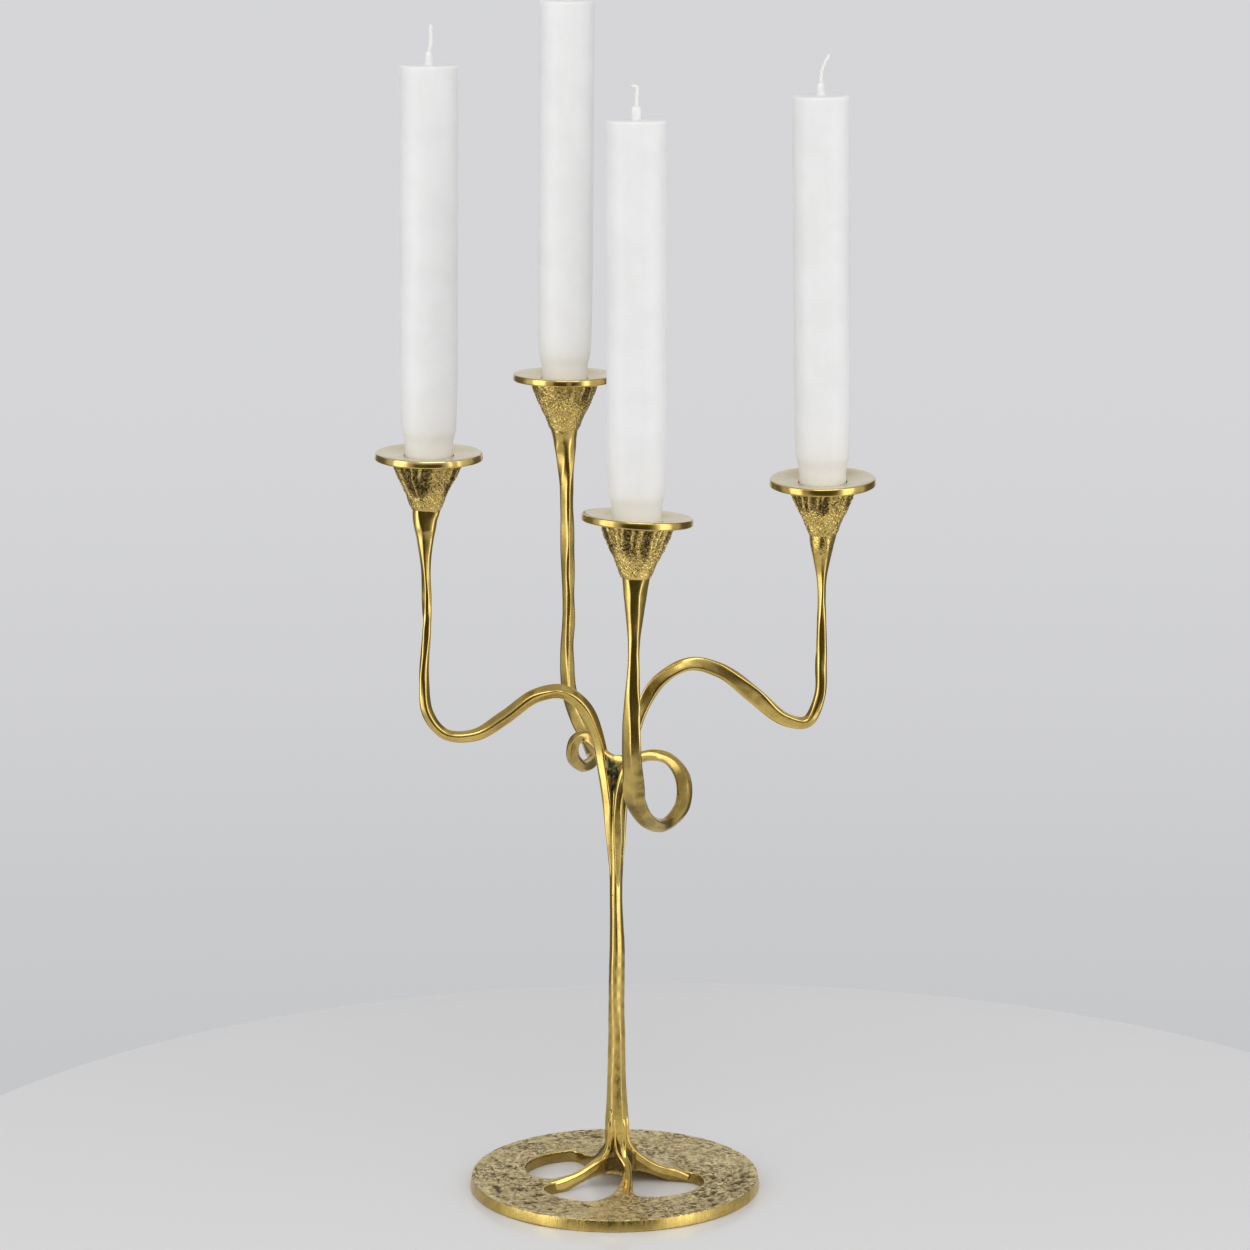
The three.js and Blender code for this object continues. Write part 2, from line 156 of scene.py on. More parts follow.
def throughPoints(stops, perSpan, tension=None):
    # A curve through the stops. Each span is a cubic whose end slopes come from the two neighbours:
    # with a tension they are that share of the neighbours' difference, and without one the spans are
    # weighted by the square root of their lengths, which keeps tight bends from overshooting.
    stops = np.asarray(stops, float)
    padded = np.concatenate([2 * stops[:1] - stops[1:2], stops, 2 * stops[-1:] - stops[-2:-1]])
    p0, p1, p2, p3 = padded[:-3], padded[1:-2], padded[2:-1], padded[3:]
    if tension is None:
        spans = np.sqrt(np.linalg.norm(np.diff(padded, axis=0), axis=1))[:, None]
        d0, d1, d2 = spans[:-2], spans[1:-1], spans[2:]
        s1 = ((p1 - p0) / d0 - (p2 - p0) / (d0 + d1) + (p2 - p1) / d1) * d1
        s2 = ((p2 - p1) / d1 - (p3 - p1) / (d1 + d2) + (p3 - p2) / d2) * d1
    else:
        s1, s2 = tension * (p2 - p0), tension * (p3 - p1)
    t = (np.arange(perSpan) / perSpan)[None, :, None]
    a, b = p1[:, None], p2[:, None]
    u, v = s1[:, None], s2[:, None]
    curve = a + u * t + (3 * (b - a) - 2 * u - v) * t ** 2 + (2 * (a - b) + u + v) * t ** 3
    return np.concatenate([curve.reshape(-1, stops.shape[1]), stops[-1:]])


def evenly(curve, spacing):
    # The same curve, and all that goes with it, resampled at equal steps along its first three columns
    along = np.concatenate([[0], np.cumsum(np.linalg.norm(np.diff(curve[:, :3], axis=0), axis=1))])
    steps = np.linspace(0, along[-1], max(8, int(along[-1] / spacing)))
    return np.stack([np.interp(steps, along, column) for column in curve.T], 1), steps


def facetSection(angles, normals, distances, sharpness):
    # Radius of a section bounded by straight sides. A side with normal n at distance d has the radius
    # d / cos(angle - n); the high power sums them so that the nearest side wins and its ridges stay
    # softly rounded. The second value is one on a ridge and nothing in the middle of a side.
    reach = np.maximum(np.cos(angles[..., None] - normals), 1e-3) / distances
    weight = reach ** sharpness
    total = weight.sum(-1)
    ridge = np.clip(2 * (1 - weight.max(-1) / total), 0, 1)
    return total ** (-1 / sharpness), ridge


def sideColumns(normals, distances, perSide):
    # Headings of a section's columns, row by row: they run from each corner to the next, closer together
    # near the corners, so that every ridge is a line of the grid. A corner is where two sides' lines meet.
    ahead, beyond = np.roll(normals, -1, 1), np.roll(distances, -1, 1)
    ahead[:, -1] += 2 * np.pi
    turn = np.sin(ahead - normals)
    x = (distances * np.sin(ahead) - beyond * np.sin(normals)) / turn
    y = (beyond * np.cos(normals) - distances * np.cos(ahead)) / turn
    between = (normals + ahead) / 2
    corners = between + wrapped(np.arctan2(y, x) - between)
    # Each column stays at least a twentieth of a radian past the one before it
    for side in range(1, corners.shape[1]):
        corners[:, side] = np.maximum(corners[:, side], corners[:, side - 1] + 0.05)
    start = np.roll(corners, 1, 1)
    start[:, 0] -= 2 * np.pi
    share = 0.5 - 0.5 * np.cos(np.pi * np.arange(perSide) / perSide)
    return (start[..., None] + (corners - start)[..., None] * share).reshape(len(normals), -1)


def sidedSection(normals, distances, s):
    # Heading, radius and ridge value of every column of a bar with straight sides
    angles = sideColumns(normals, distances, s["perSide"])
    radius, ridge = facetSection(angles, normals[:, None, :], distances[:, None, :], s["sharpness"])
    return angles, radius, ridge


# Heads and arms: where they are

# A head's pan is centred at `top` on its upper face; leans are in degrees about X, then about Y. The folds
# on a cup are their number, how far down they reach as a share, and how dark the hollows between them are,
# partly oxide and partly painted shade.
# A wick's stops are its place to one side and its height above the candle's collar.
heads = {
    "left": {"top": (-80.9, -16.0, 335.5), "seed": 11,
             "panRadius": 23.5, "panLean": (1.7, 0.5), "rimRise": 0.1, "panThickness": 3.4, "rimSlope": 0.48,
             "candleLean": (0.0, 0.5), "candleLength": 165.5, "candleShift": 0.0,
             "cupScale": 1.0, "cupLean": (0.5, 1.6), "cupShift": -0.65, "folds": (19, 0.8, 1.1),
             "wick": [(0, 0), (0.7, 2.2), (1.0, 4.5), (0.9, 8), (0.8, 11.3)]},
    "right": {"top": (90.5, 18.0, 318.5), "seed": 12,
              "panRadius": 23.5, "panLean": (3.8, -0.8), "rimRise": 0.5, "panThickness": 3.6,
              "rimSlope": 0.2,
              "candleLean": (0.6, -0.8), "candleLength": 167.6, "candleShift": 0.0,
              "cupScale": 0.97, "cupLean": (2.5, -0.8), "cupShift": 0.0, "folds": (24, 0.62, 1.35),
              "wick": [(0, 0), (0.4, 4.6), (1.6, 7.9), (3.8, 11.9)]},
    "front": {"top": (8.75, -83.7, 318.1), "seed": 13,
              "panRadius": 23.45, "panLean": (-2.0, 3.4), "rimRise": 1.2, "panThickness": 3.4,
              "rimSlope": 0.2,
              "candleLean": (-1.0, -0.1), "candleLength": 164.3, "candleShift": -0.3,
              "cupScale": 0.99, "cupLean": (-2.2, 2.0), "cupShift": 0.15, "folds": (22, 0.7, 0.72),
              "wick": [(0, 0), (0.3, 4), (0.2, 7.8), (-1.9, 8.2)]},
    "back": {"top": (-23.9, 90.0, 354.8), "seed": 14,
             "panRadius": 23.5, "panLean": (0.3, 0.4), "rimRise": 0.8, "panThickness": 3.3, "rimSlope": 0.25,
             "candleLean": (-0.3, 0.5), "candleLength": 168.7, "candleShift": 0.0,
             "cupScale": 1.0, "cupLean": (-0.5, 0.4), "cupShift": 0.0, "folds": (20, 0.6, 0.6),
             "wick": [(0, 0), (0.4, 4), (-0.3, 6.9), (-1.6, 9.6)]},
}

# Radius and depth below the pan's level of a cup's outside. The riser's stops count from `seatDrop`. The
# folds' widths and bends are in radians, and their ends are shares of their reach.
cupShape = {"outline": [(15.6, 2.7), (14.9, 5.5), (13.1, 9.8), (11.1, 14.0), (8.85, 18.2), (7.3, 22.3),
                        (6.45, 24.9)],
            "seatDrop": 20.8, "socketRadius": 10.75, "socketFloor": 7.0, "socketDepth": 11.5,
            "tenonRadius": 3.2,
            "around": 288, "perSpan": 20, "fluteDepth": 0.62, "grain": 0.2, "swell": 0.2,
            "foldWidths": (0.04, 0.085), "foldBends": (-0.12, 0.12), "foldEnds": (0.55, 1.15),
            "foldHeights": (0.6, 1.0)}


def leanMatrix(lean):
    a, b = np.radians(lean)
    aboutX = np.array([[1, 0, 0], [0, math.cos(a), -math.sin(a)], [0, math.sin(a), math.cos(a)]])
    aboutY = np.array([[math.cos(b), 0, math.sin(b)], [0, 1, 0], [-math.sin(b), 0, math.cos(b)]])
    return aboutX @ aboutY


def atHead(points, head, lean, shift=0.0):
    return points @ leanMatrix(lean).T + np.array(head["top"]) + (shift, 0, 0)


# Bars. Stops are x, y, z, width, depth, twist in degrees, chamfer share. The bow's heights are counted
# from the fork, the riser's stops from the cup's foot. An `across` bar is as deep as it is across its own
# plane. A chamfer share near 0.71 makes eight even sides, and one near 1 leaves four. An eighth number
# widens the chamfer on the left of the side that looks at the viewer and narrows the one on its right, and
# a ninth turns both toward that side, in degrees. Patina, and on the front arm a painted dark reflection on
# one facet, is a place from the fork, a reach and an amount.
barShape = {"forkHeight": 190.0, "neckRadius": 2.65, "tailReach": 56.0, "tailSink": 1.5,
            "tailTip": (1.2, 1.4),
            "footShare": 0.74, "perSide": 9, "perSpan": 24, "spacing": 0.6, "sharpness": 15.0,
            "skinWave": 0.02,
            # shares by which sides and chamfers wander, their turn in degrees, and the length of a wander
            "sideWander": 0.03, "chamferWander": 0.05, "turnWander": 4.0, "wanderLength": 26.0,
            # from the foot: where the viewer's side is cut deeper, where the wander fades, where the width
            # is held to the first limit rather than the second, both as shares of the half width
            "ledgeSpan": (26, 4), "wanderSpan": (4, 30), "limitSpan": (4, 16), "limits": (1.02, 1.42),
            "limitPower": 24.0, "straightSlope": 0.04,
            "collarReach": 2.4, "collarRings": 5, "collarSpread": 0.35, "collarSink": 0.5,
            # the verdigris's middle from the fork and its size, and how wide the cast skin's edge is
            "green": (-1.2, 0.0, -8.0), "greenSize": (3.9, 3.9, 14.0), "castEdge": 1.5}

arms = {
    "left": {"azimuth": 191.3, "across": True, "seed": 21, "tail": (-30, 0.8),
             "joint": 12.4, "ledge": 0.96, "straight": 9.0, "cast": 0.6,
             "patina": [(-49, -9.6, 27, 14, 0.25), (-14, -3, 30, 14, 0.2)],
             "bow": [(-3.15, -0.7, -30, 3.7, 3.0, -38, 0.86, 0.15),
                     (-4.3, -1.0, -12, 5.0, 3.6, -44, 0.88, 0.15),
                     (-8.2, -1.6, 15, 5.2, 4.6, -44, 0.88, 0.1), (-14.4, -2.8, 30.2, 5.4, 5.2, -40, 0.88),
                     (-24, -4.6, 37.4, 5.6, 5.2, -38, 0.88), (-36, -7, 36, 5.4, 5, -38, 0.88),
                     (-49, -9.6, 27, 6, 5, -32, 0.86), (-62, -12.2, 19.8, 5, 5, -20, 0.84),
                     (-74.6, -14.7, 20.6, 4.2, 5, -30, 0.8), (-82.3, -16.3, 30, 4.4, 4.8, -38, 0.78),
                     (-83.9, -16.6, 45.3, 3.9, 4.6, -32, 0.76)],
             "riser": [(-1.4, 0, -57, 3.6, 4.4, -14, 0.8), (-1.3, 0, -44, 3.6, 4.4, 26, 0.82),
                       (-1.6, 0, -31, 3.9, 4.6, 14, 0.8), (-1.85, 0, -17, 7.5, 7.2, 6, 0.76),
                       (-1.8, 0, -8.6, 11.0, 10.4, 2, 0.72)]},
    "right": {"azimuth": 11.1, "across": True, "seed": 22, "tail": (0, 0.8),
              "joint": 12.6, "ledge": 1.0, "straight": 1.0, "cast": 9.0,
              "patina": [(45, 9, 44, 22, 0.15)],
              "bow": [(2.1, 0.8, -30, 2.9, 3.1, 0, 0.84), (2.7, 1.1, -12, 3.9, 4, -8, 0.88),
                      (4.6, 1.4, 4, 4.6, 4.6, -16, 0.9), (10.8, 2.4, 27, 5.2, 5, -22, 0.9),
                      (18.8, 4, 40.6, 5.8, 5.2, -26, 0.9), (32, 6.4, 47.8, 6, 5, -22, 0.88),
                      (45.5, 9, 44.4, 6.6, 5, -4, 0.88), (60.5, 12, 32.8, 7.2, 5, 10, 0.88),
                      (74.6, 15, 21, 6, 5, 10, 0.86), (84.4, 16.9, 19.4, 4.8, 5, 16, 0.82),
                      (90, 17.9, 31, 4.9, 4.8, 6, 0.8), (90.6, 18, 47, 4.8, 4.6, 2, 0.8)],
              "riser": [(-0.2, 0, -45, 4.3, 4.4, 2, 0.73), (-0.3, 0, -33, 3.5, 4.2, 0, 0.67),
                        (-0.3, 0, -24, 4.4, 4.8, 0, 0.64), (-0.3, 0, -14.5, 8.0, 7.6, 0, 0.68),
                        (-0.3, 0, -8, 10.8, 10.4, 0, 0.74)]},
    "front": {"azimuth": 276.1, "across": False, "seed": 23, "tail": (-10, 0.8), "footShare": 0.65,
              "joint": 12.2, "ledge": 0.97, "straight": 12.0, "cast": 0.6,
              # The heaviest patches, on the loop and riser, are a painted dark reflection on one facet; the
              # rest is patina
              "patina": [(6.5, -72.5, 1.5, 7.5, 0.85), (12.3, -84, 27, 5.0, 0.93),
                         (12.0, -84, 20, 5.0, 1.05),
                         (11.6, -81, 13.5, 4.5, 1.05), (11.0, -78, 9, 3.2, 1.2), (12, -62, -6, 8, 0.6),
                         (21.4, -45, -12, 14, 0.55), (28.5, -30, -2, 16, 0.5)],
              "bow": [(0.6, -2.9, -30, 4.1, 3.1, -12, 0.82), (1.1, -3.9, -10, 4.3, 3.8, -10, 0.82),
                      (5.2, -5.2, 4.8, 4.4, 3.8, 12, 0.76), (13, -8.6, 9.8, 5, 4.2, 14, 0.72),
                      (21.8, -14, 9.8, 5.8, 4.4, 12, 0.72), (28.6, -23, 3.4, 7, 4.4, 10, 0.74),
                      (28.4, -34, -6.6, 6.8, 4.4, 8, 0.74), (21.4, -45.5, -12, 5.6, 4.4, 4, 0.76),
                      (14, -59.5, -7.8, 6.8, 5, 0, 0.8, 0.2), (8.2, -72.5, 4.2, 8.8, 5.6, 0, 0.82, 0.4),
                      (6.7, -80.8, 18.6, 8.8, 5.8, -2, 0.82, 0.5), (6.2, -84, 36.2, 7.9, 5.8, -2, 0.81, 0.4),
                      (6.5, -84.4, 52, 6.3, 5.4, 0, 0.81, 0.15)],
              "riser": [(-1.6, -0.6, -40, 4.9, 4.5, 0, 0.8), (-1.4, -0.5, -31, 5.3, 4.8, 0, 0.79),
                        (-1.3, -0.5, -23, 6.8, 6.2, 0, 0.76), (-1.05, -0.55, -14.4, 9.2, 8.0, 0, 0.69),
                        (-0.95, -0.6, -10, 10.5, 9.2, 0, 0.66)]},
    "back": {"azimuth": 104.9, "across": False, "seed": 24, "tail": (0, 0.8),
             "joint": 12.4, "ledge": 1.0, "straight": 1.0, "cast": 2.0,
             "patina": [(-20, 80, 50, 60, 0.3), (-19, 20, 4, 14, 0.35)],
             "bow": [(-0.3, 2.9, -30, 3.1, 2.9, 0, 0.84), (-1.4, 3.9, -10, 4, 3.8, 0, 0.86),
                     (-6.4, 6, 8.4, 4.6, 3.6, 0, 0.82), (-13, 9.5, 14.4, 5.2, 4, 0, 0.78),
                     (-18.4, 15, 11.6, 5.4, 4, 0, 0.76), (-19.6, 23, 2.6, 5.8, 4, 0, 0.76),
                     (-15.6, 34, -4.6, 5.6, 4, 0, 0.78), (-11, 47, -5, 5.8, 4.2, 0, 0.8),
                     (-12.6, 61, 0, 6.6, 4.6, -14, 0.84), (-17.9, 73, 8.6, 7.4, 5, -40, 0.86),
                     (-22.1, 82, 20, 6.8, 5, -60, 0.86), (-23.1, 87.6, 36, 5.8, 5, -64, 0.86)],
             "riser": [(1.7, -1.4, -88, 5.1, 4.8, -64, 0.86), (1.3, -1, -54, 5.6, 5, -62, 0.86),
                       (1.0, -0.4, -30, 6.2, 5.4, -44, 0.8, 0, 4), (0.5, 0, -15, 8.9, 8.4, -4, 0.66, 0, 10),
                       (0.2, 0, -9, 10.6, 10.2, 0, 0.68, 0, 12)]},
}


def armStops(name):
    # All stops of an arm from the tail in the stem to the cup's foot, the cup's axis, and the arm's heading
    head, arm, s = heads[name], arms[name], barShape
    axis = leanMatrix(head["cupLean"]) @ np.array([0, 0, 1.0])
    seat = np.array(head["top"]) - leanMatrix(head["candleLean"]) @ np.array([0, 0, cupShape["seatDrop"]])
    foot = np.array(head["top"]) - axis * cupShape["outline"][-1][1] + (head["cupShift"], 0, 0)
    azimuth = math.radians(arm["azimuth"])
    side = np.array([math.cos(azimuth), math.sin(azimuth), 0])
    tail = side * (s["neckRadius"] - s["tailSink"])
    tail[2] = s["forkHeight"] - s["tailReach"]
    across = arm["joint"] * head["cupScale"]
    stops = [[*tail, *s["tailTip"], *arm["tail"]]]
    stops += [[x, y, s["forkHeight"] + z, *rest] for x, y, z, *rest in arm["bow"]]
    stops += [[*(seat + (x, y, z)), *rest] for x, y, z, *rest in arm["riser"]]
    stops += [[*foot, across, across, 0, arm.get("footShare", s["footShare"])]]
    return np.array([[*stop, 0.0, 0.0][:9] for stop in stops]), axis, side


def armSides(arm, curve, along, viewerSide):
    # At each ring eight sides bound the section: four faces at the half width and half depth, and four
    # chamfers near the corners, counted from the width toward the depth. Every side's distance and heading
    # wanders softly along the bar, as filing leaves it. The side that looks at the viewer is cut a little
    # deeper toward the cup, where it ends in a square ledge.
    s = barShape
    toFoot = along[-1] - along
    halfWidth, halfDepth = curve[:, 3] / 2, curve[:, 4] / 2
    corner = curve[:, 6] * (halfWidth + halfDepth) / math.sqrt(2)
    wander = wavers(along, s["wanderLength"], arm["seed"] * 20, 8, 7)
    turn = wavers(along, s["wanderLength"], arm["seed"] * 20 + 8, 8, 7)
    scale = np.where(np.arange(8) % 2 == 0, s["sideWander"], s["chamferWander"])
    distances = np.stack([halfWidth, corner, halfDepth, corner] * 2, 1) * (1 + wander * scale)
    left, right = viewerSide - 1, viewerSide + 1
    distances[:, left] *= 1 - curve[:, 7]
    distances[:, right] *= 1 + curve[:, 7]
    distances[:, viewerSide] *= 1 - (1 - arm["ledge"]) * smoothStep(*s["ledgeSpan"], toFoot)
    # It runs almost straight over its last stretch
    ahead = toFoot < arm["straight"]
    start = distances[np.argmin(np.abs(toFoot - arm["straight"])), viewerSide]
    hold = start + s["straightSlope"] * (arm["straight"] - toFoot[ahead])
    distances[ahead, viewerSide] = np.minimum(distances[ahead, viewerSide], hold)
    free = np.radians(s["turnWander"]) * smoothStep(*s["wanderSpan"], toFoot)
    normals = np.arange(8) * np.pi / 4 + turn * free[:, None]
    normals[:, left] += np.radians(curve[:, 8])
    normals[:, right] -= np.radians(curve[:, 8])
    return normals, distances


def armBar(name):
    # The eight-sided section is carried along the bar's curve and twisted about it. Past the curve's end a
    # collar goes on inside the cup's foot, from just under its skin to deeper.
    stops, axis, side = armStops(name)
    arm, s = arms[name], barShape
    path, rest = throughPoints(stops[:, :3], s["perSpan"]), throughPoints(stops[:, 3:], s["perSpan"], 0.5)
    curve, along = evenly(np.concatenate([path, rest], 1), s["spacing"])
    points, toFoot, halfWidth = curve[:, :3], along[-1] - along, curve[:, 3] / 2
    tangent = unit(np.gradient(points, axis=0))
    guide = np.array([-side[1], side[0], 0]) if arm["across"] else side
    deep = unit(guide - (tangent @ guide)[:, None] * tangent)
    wide = np.cross(deep, tangent)
    normals, distances = armSides(arm, curve, along, 2 if guide[1] < 0 else 6)
    angles, radius, ridge = sidedSection(normals, distances, s)
    low, high = s["limits"]
    limit = (halfWidth * (low + (high - low) * smoothStep(*s["limitSpan"], toFoot)))[:, None]
    radius = (radius ** -s["limitPower"] + limit ** -s["limitPower"]) ** (-1 / s["limitPower"])
    rings = ringsAlong(points, wide, deep, radius, angles + np.radians(curve[:, 5])[:, None])
    out = unit(rings - points[:, None])
    skin = s["skinWave"] * (1 + ripple(rings, 6.5, arm["seed"], 18).clip(-1, 1))
    rings = rings - out * skin[..., None]
    steps = np.linspace(0, 1, s["collarRings"] + 1)[1:, None, None]
    rise = steps * s["collarReach"]
    skin = halfWidth[-1] + s["collarSpread"] * rise - s["collarSink"] * smoothStep(0, 0.7, steps)
    rings = np.concatenate([rings, points[-1] + rise * axis + out[-1] * skin])
    ridge = np.concatenate([ridge, np.zeros((len(steps), ridge.shape[1]))])
    # Verdigris sits where the arms part, and patina in patches, with a painted dark reflection on one facet
    # of the front arm
    fork = np.array([0, 0, s["forkHeight"]])
    green = bell(rings, fork + s["green"], s["greenSize"])
    patina = 0 * green
    for *place, reach, amount in arm["patina"]:
        patina = np.maximum(patina, amount * bell(rings, fork + place, reach))
    # The cup's cast skin runs a little way down the bar
    fromFoot = np.concatenate([toFoot, np.zeros(len(steps))])[:, None]
    edge = fromFoot - 0.5 * ripple(rings, 3.0, arm["seed"] + 5, 14)
    cast = smoothStep(arm["cast"], arm["cast"] - s["castEdge"], edge)
    return tubeFromRings("arm_bar_" + name, rings, ridge=ridge, verdigris=green, cast=cast, patina=patina)


# Stem

stemShape = {"foot": 30.3, "hubRadius": 5.15, "tipRise": 2.0, "tipRadius": 1.3, "tipLean": -0.9,
             "perSide": 18, "perSpan": 24, "spacing": 0.5, "sharpness": 18.0, "seed": 31,
             # the skin's radius at heights on the hub, and the heights at which the bar goes on inside it
             "hubSkin": [(16, 5.5), (20, 5.35), (25, 5.15), (30.3, 4.98)], "below": (17.5, 23.5),
             "proud": 0.1, "taper": 0.02, "sink": 2.0, "sinkSpan": (25.4, 22.5),
             "sideWander": 0.025, "sideLength": 45.0, "turnWander": 2.5, "turnLength": 60.0,
             # share of the rise, sideways bend, radius as a share from the neck's to the hub's
             "stations": [(0, 0, 0.93), (0.04, 0, 0.75), (0.09, -0.1, 0.58), (0.17, -0.2, 0.42),
                          (0.3, -0.1, 0.33),
                          (0.42, 0.1, 0.33), (0.5, 0.3, 0.25), (0.58, 0, 0.06), (0.66, -0.3, 0),
                          (0.74, -0.2, 0.12),
                          (0.82, 0, 0.3), (0.9, 0, 0.2)],
             # at a height, the headings of seven sides in degrees from the viewer's, and their distances as
             # shares of the radius: left, one that catches the light, front, right, and three behind
             "sides": [(14, (-60, -30, 0, 60, 120, 180, 240),
                        (0.945, 1.05, 0.945, 0.945, 0.945, 0.945, 0.945)),
                       (50, (-60, -30, 0, 60, 120, 180, 240),
                        (0.945, 1.045, 0.945, 0.945, 0.945, 0.945, 0.945)),
                       (67, (-60, -30, 5, 60, 120, 180, 240), (0.9, 0.97, 0.95, 0.95, 0.94, 0.93, 0.94)),
                       (84, (-62, -22, 25, 62, 122, 180, 240), (0.95, 0.97, 0.83, 0.82, 0.9, 0.9, 0.95)),
                       (104, (-62, -21, 27, 62, 124, 180, 238), (0.95, 0.97, 0.82, 0.8, 0.9, 0.9, 0.95)),
                       (132, (-62, -21, 27, 64, 124, 180, 238), (0.95, 0.97, 0.84, 0.83, 0.9, 0.9, 0.95)),
                       (155, (-62, -21, 26, 62, 122, 180, 238), (0.95, 0.96, 0.84, 0.83, 0.9, 0.9, 0.95)),
                       (175, (-60, -24, 22, 60, 122, 180, 240), (0.93, 0.96, 0.9, 0.88, 0.9, 0.9, 0.93)),
                       (192, (-60, -30, 10, 60, 122, 180, 240), (0.9, 1.0, 1.05, 0.93, 0.93, 0.93, 0.93))],
             # pits left by the casting: degrees from the viewer's side, height, radius, depth
             "pits": [(-36, 35.4, 0.6, 0.45), (38, 31.2, 0.4, 0.5), (150, 52.0, 0.8, 0.4),
                      (210, 95.0, 0.6, 0.4),
                      (-120, 120.0, 0.5, 0.35), (75, 152.0, 0.4, 0.3)],
             # brown stains round the pits: degrees, height, half width, half height
             "stains": [(10, 46.0, 0.7, 7.5), (5, 57.0, 0.9, 5.5), (150, 52.0, 2.0, 5.0)]}


def hubRadiusAt(height):
    return np.interp(height, *zip(*stemShape["hubSkin"]))


def stemSides(heights, radii):
    # Headings and distances of the stem's sides at the given heights and radii
    levels, headings, shares = (np.array(column, float) for column in zip(*stemShape["sides"]))
    headings, shares = (np.stack([np.interp(heights, levels, column) for column in table.T], -1)
                        for table in (headings, shares))
    return np.radians(headings - 90), shares * radii[..., None]


def stemBar():
    # A seven-sided section on a nearly straight path, whose sides wander and turn slowly. Each pit is a
    # small round dent, a bell curve in depth. Below its foot the bar goes on and sinks into the hub, whose
    # skin has the same sides.
    s, fork = stemShape, barShape["forkHeight"]
    share, bend, swell = np.array(s["stations"]).T
    radii = barShape["neckRadius"] + swell * (s["hubRadius"] - barShape["neckRadius"])
    stops = np.stack([bend, 0 * radii, s["foot"] + share * (fork - s["foot"]), radii], 1)
    below = [[0, 0, level, hubRadiusAt(level)] for level in s["below"]]
    tip = [s["tipLean"], 0, fork + s["tipRise"], s["tipRadius"]]
    curve, along = evenly(throughPoints(np.vstack([below, stops, tip]), s["perSpan"], 0.5), s["spacing"])
    height = curve[:, 2:3]
    calm = smoothStep(34, 60, height)
    normals, distances = stemSides(curve[:, 2], curve[:, 3])
    distances *= 1 + s["sideWander"] * calm * wavers(along, s["sideLength"], s["seed"], 7, 6)
    normals += np.radians(s["turnWander"]) * calm * wavers(along, s["turnLength"], s["seed"] + 20, 7, 6)
    angles, radius, ridge = sidedSection(normals, distances, s)
    # The skin stands a hair's breadth proud above, and under the hub's skin it sinks
    radius = radius + s["proud"] - s["taper"] * np.clip(s["foot"] + 0.7 - height, 0, 12)
    radius = radius - s["sink"] * smoothStep(*s["sinkSpan"], height)
    dark, stain = np.zeros_like(radius), np.zeros_like(radius)
    for azimuth, level, size, depth in s["pits"]:
        off = wrapped(angles - math.radians(azimuth - 90)) * radius
        dent = np.exp(-(off ** 2 + (height - level) ** 2) / size ** 2)
        radius = radius - depth * dent
        dark = np.maximum(dark, dent * min(1, 1.8 * depth))
    for azimuth, level, across, tall in s["stains"]:
        off = wrapped(angles - math.radians(azimuth - 90)) * radius
        stain += np.exp(-(off / across) ** 2 - ((height - level) / tall) ** 2)
    outward = roundAxis(1.0, 0.0, angles)
    rings = curve[:, None, :3] + outward * radius[..., None]
    rough = ripple(rings * (1, 1, 0.35), 1.1, s["seed"] + 40, 24)
    skin = 0.06 * stain * np.maximum(rough, -0.3) + 0.02 * ripple(rings, 7, 9, 16)
    rings = rings - outward * skin[..., None]
    green = smoothStep(fork - 12, fork - 4, height) + 0 * radius
    mottled = np.clip(dark + stain * (0.22 + 0.5 * smoothStep(0.0, 1.1, rough)), 0, 1)
    ridge = ridge * (1 - stain.clip(0, 1))
    return tubeFromRings("stem_bar", rings, ridge=ridge, recess=mottled, verdigris=green)


saddleShape = {"around": 32, "spacing": 0.35, "seed": 52,
               # x, y, z, half height, half depth: the web that joins the left and right arms over the stem
               "stops": [(-6.6, -2.0, 203.2, 1.2, 1.6), (-5.2, -2.0, 200.2, 1.8, 1.8),
                         (-3.4, -2.0, 198.1, 2.6, 1.9),
                         (-1.0, -2.0, 196.2, 4.0, 1.9), (1.4, -1.8, 195.9, 4.2, 1.9),
                         (3.8, -1.2, 197.2, 3.2, 1.9),
                         (6.0, -0.6, 202.0, 1.6, 1.8)]}


def forkSaddle():
    # A bar hung between two arms: its path is a slack curve, and its section is an ellipse, higher than it
    # is deep, whose top is drawn up to a soft crest
    s = saddleShape
    curve, along = evenly(throughPoints(s["stops"], 24, 0.5), s["spacing"])
    tangent = unit(np.gradient(curve[:, :3], axis=0))
    back = -unit(np.cross(np.cross(tangent, [0, 1.0, 0]), tangent))
    up = unit(np.cross(tangent, back))
    up *= np.sign(up[:, 2:3])
    angles = fullTurn(s["around"]) + 0 * along[:, None]
    fromTop = angles - np.pi / 2
    tall = curve[:, 3:4]
    high = tall * np.sin(angles) * (1 + 0.22 * np.exp(-(fromTop / 0.32) ** 2)) - 0.6 * tall
    deep = curve[:, 4:5] * np.cos(angles)
    rings = curve[:, None, :3] + up[:, None] * high[..., None] + back[:, None] * deep[..., None]
    green = smoothStep(0.75, 0.35, np.sin(angles)) * np.exp(-((rings[..., 0] + 1.5) / 3.2) ** 2)
    return tubeFromRings("fork_saddle", rings, ridge=np.exp(-(fromTop / 0.45) ** 2), verdigris=green)


# Base

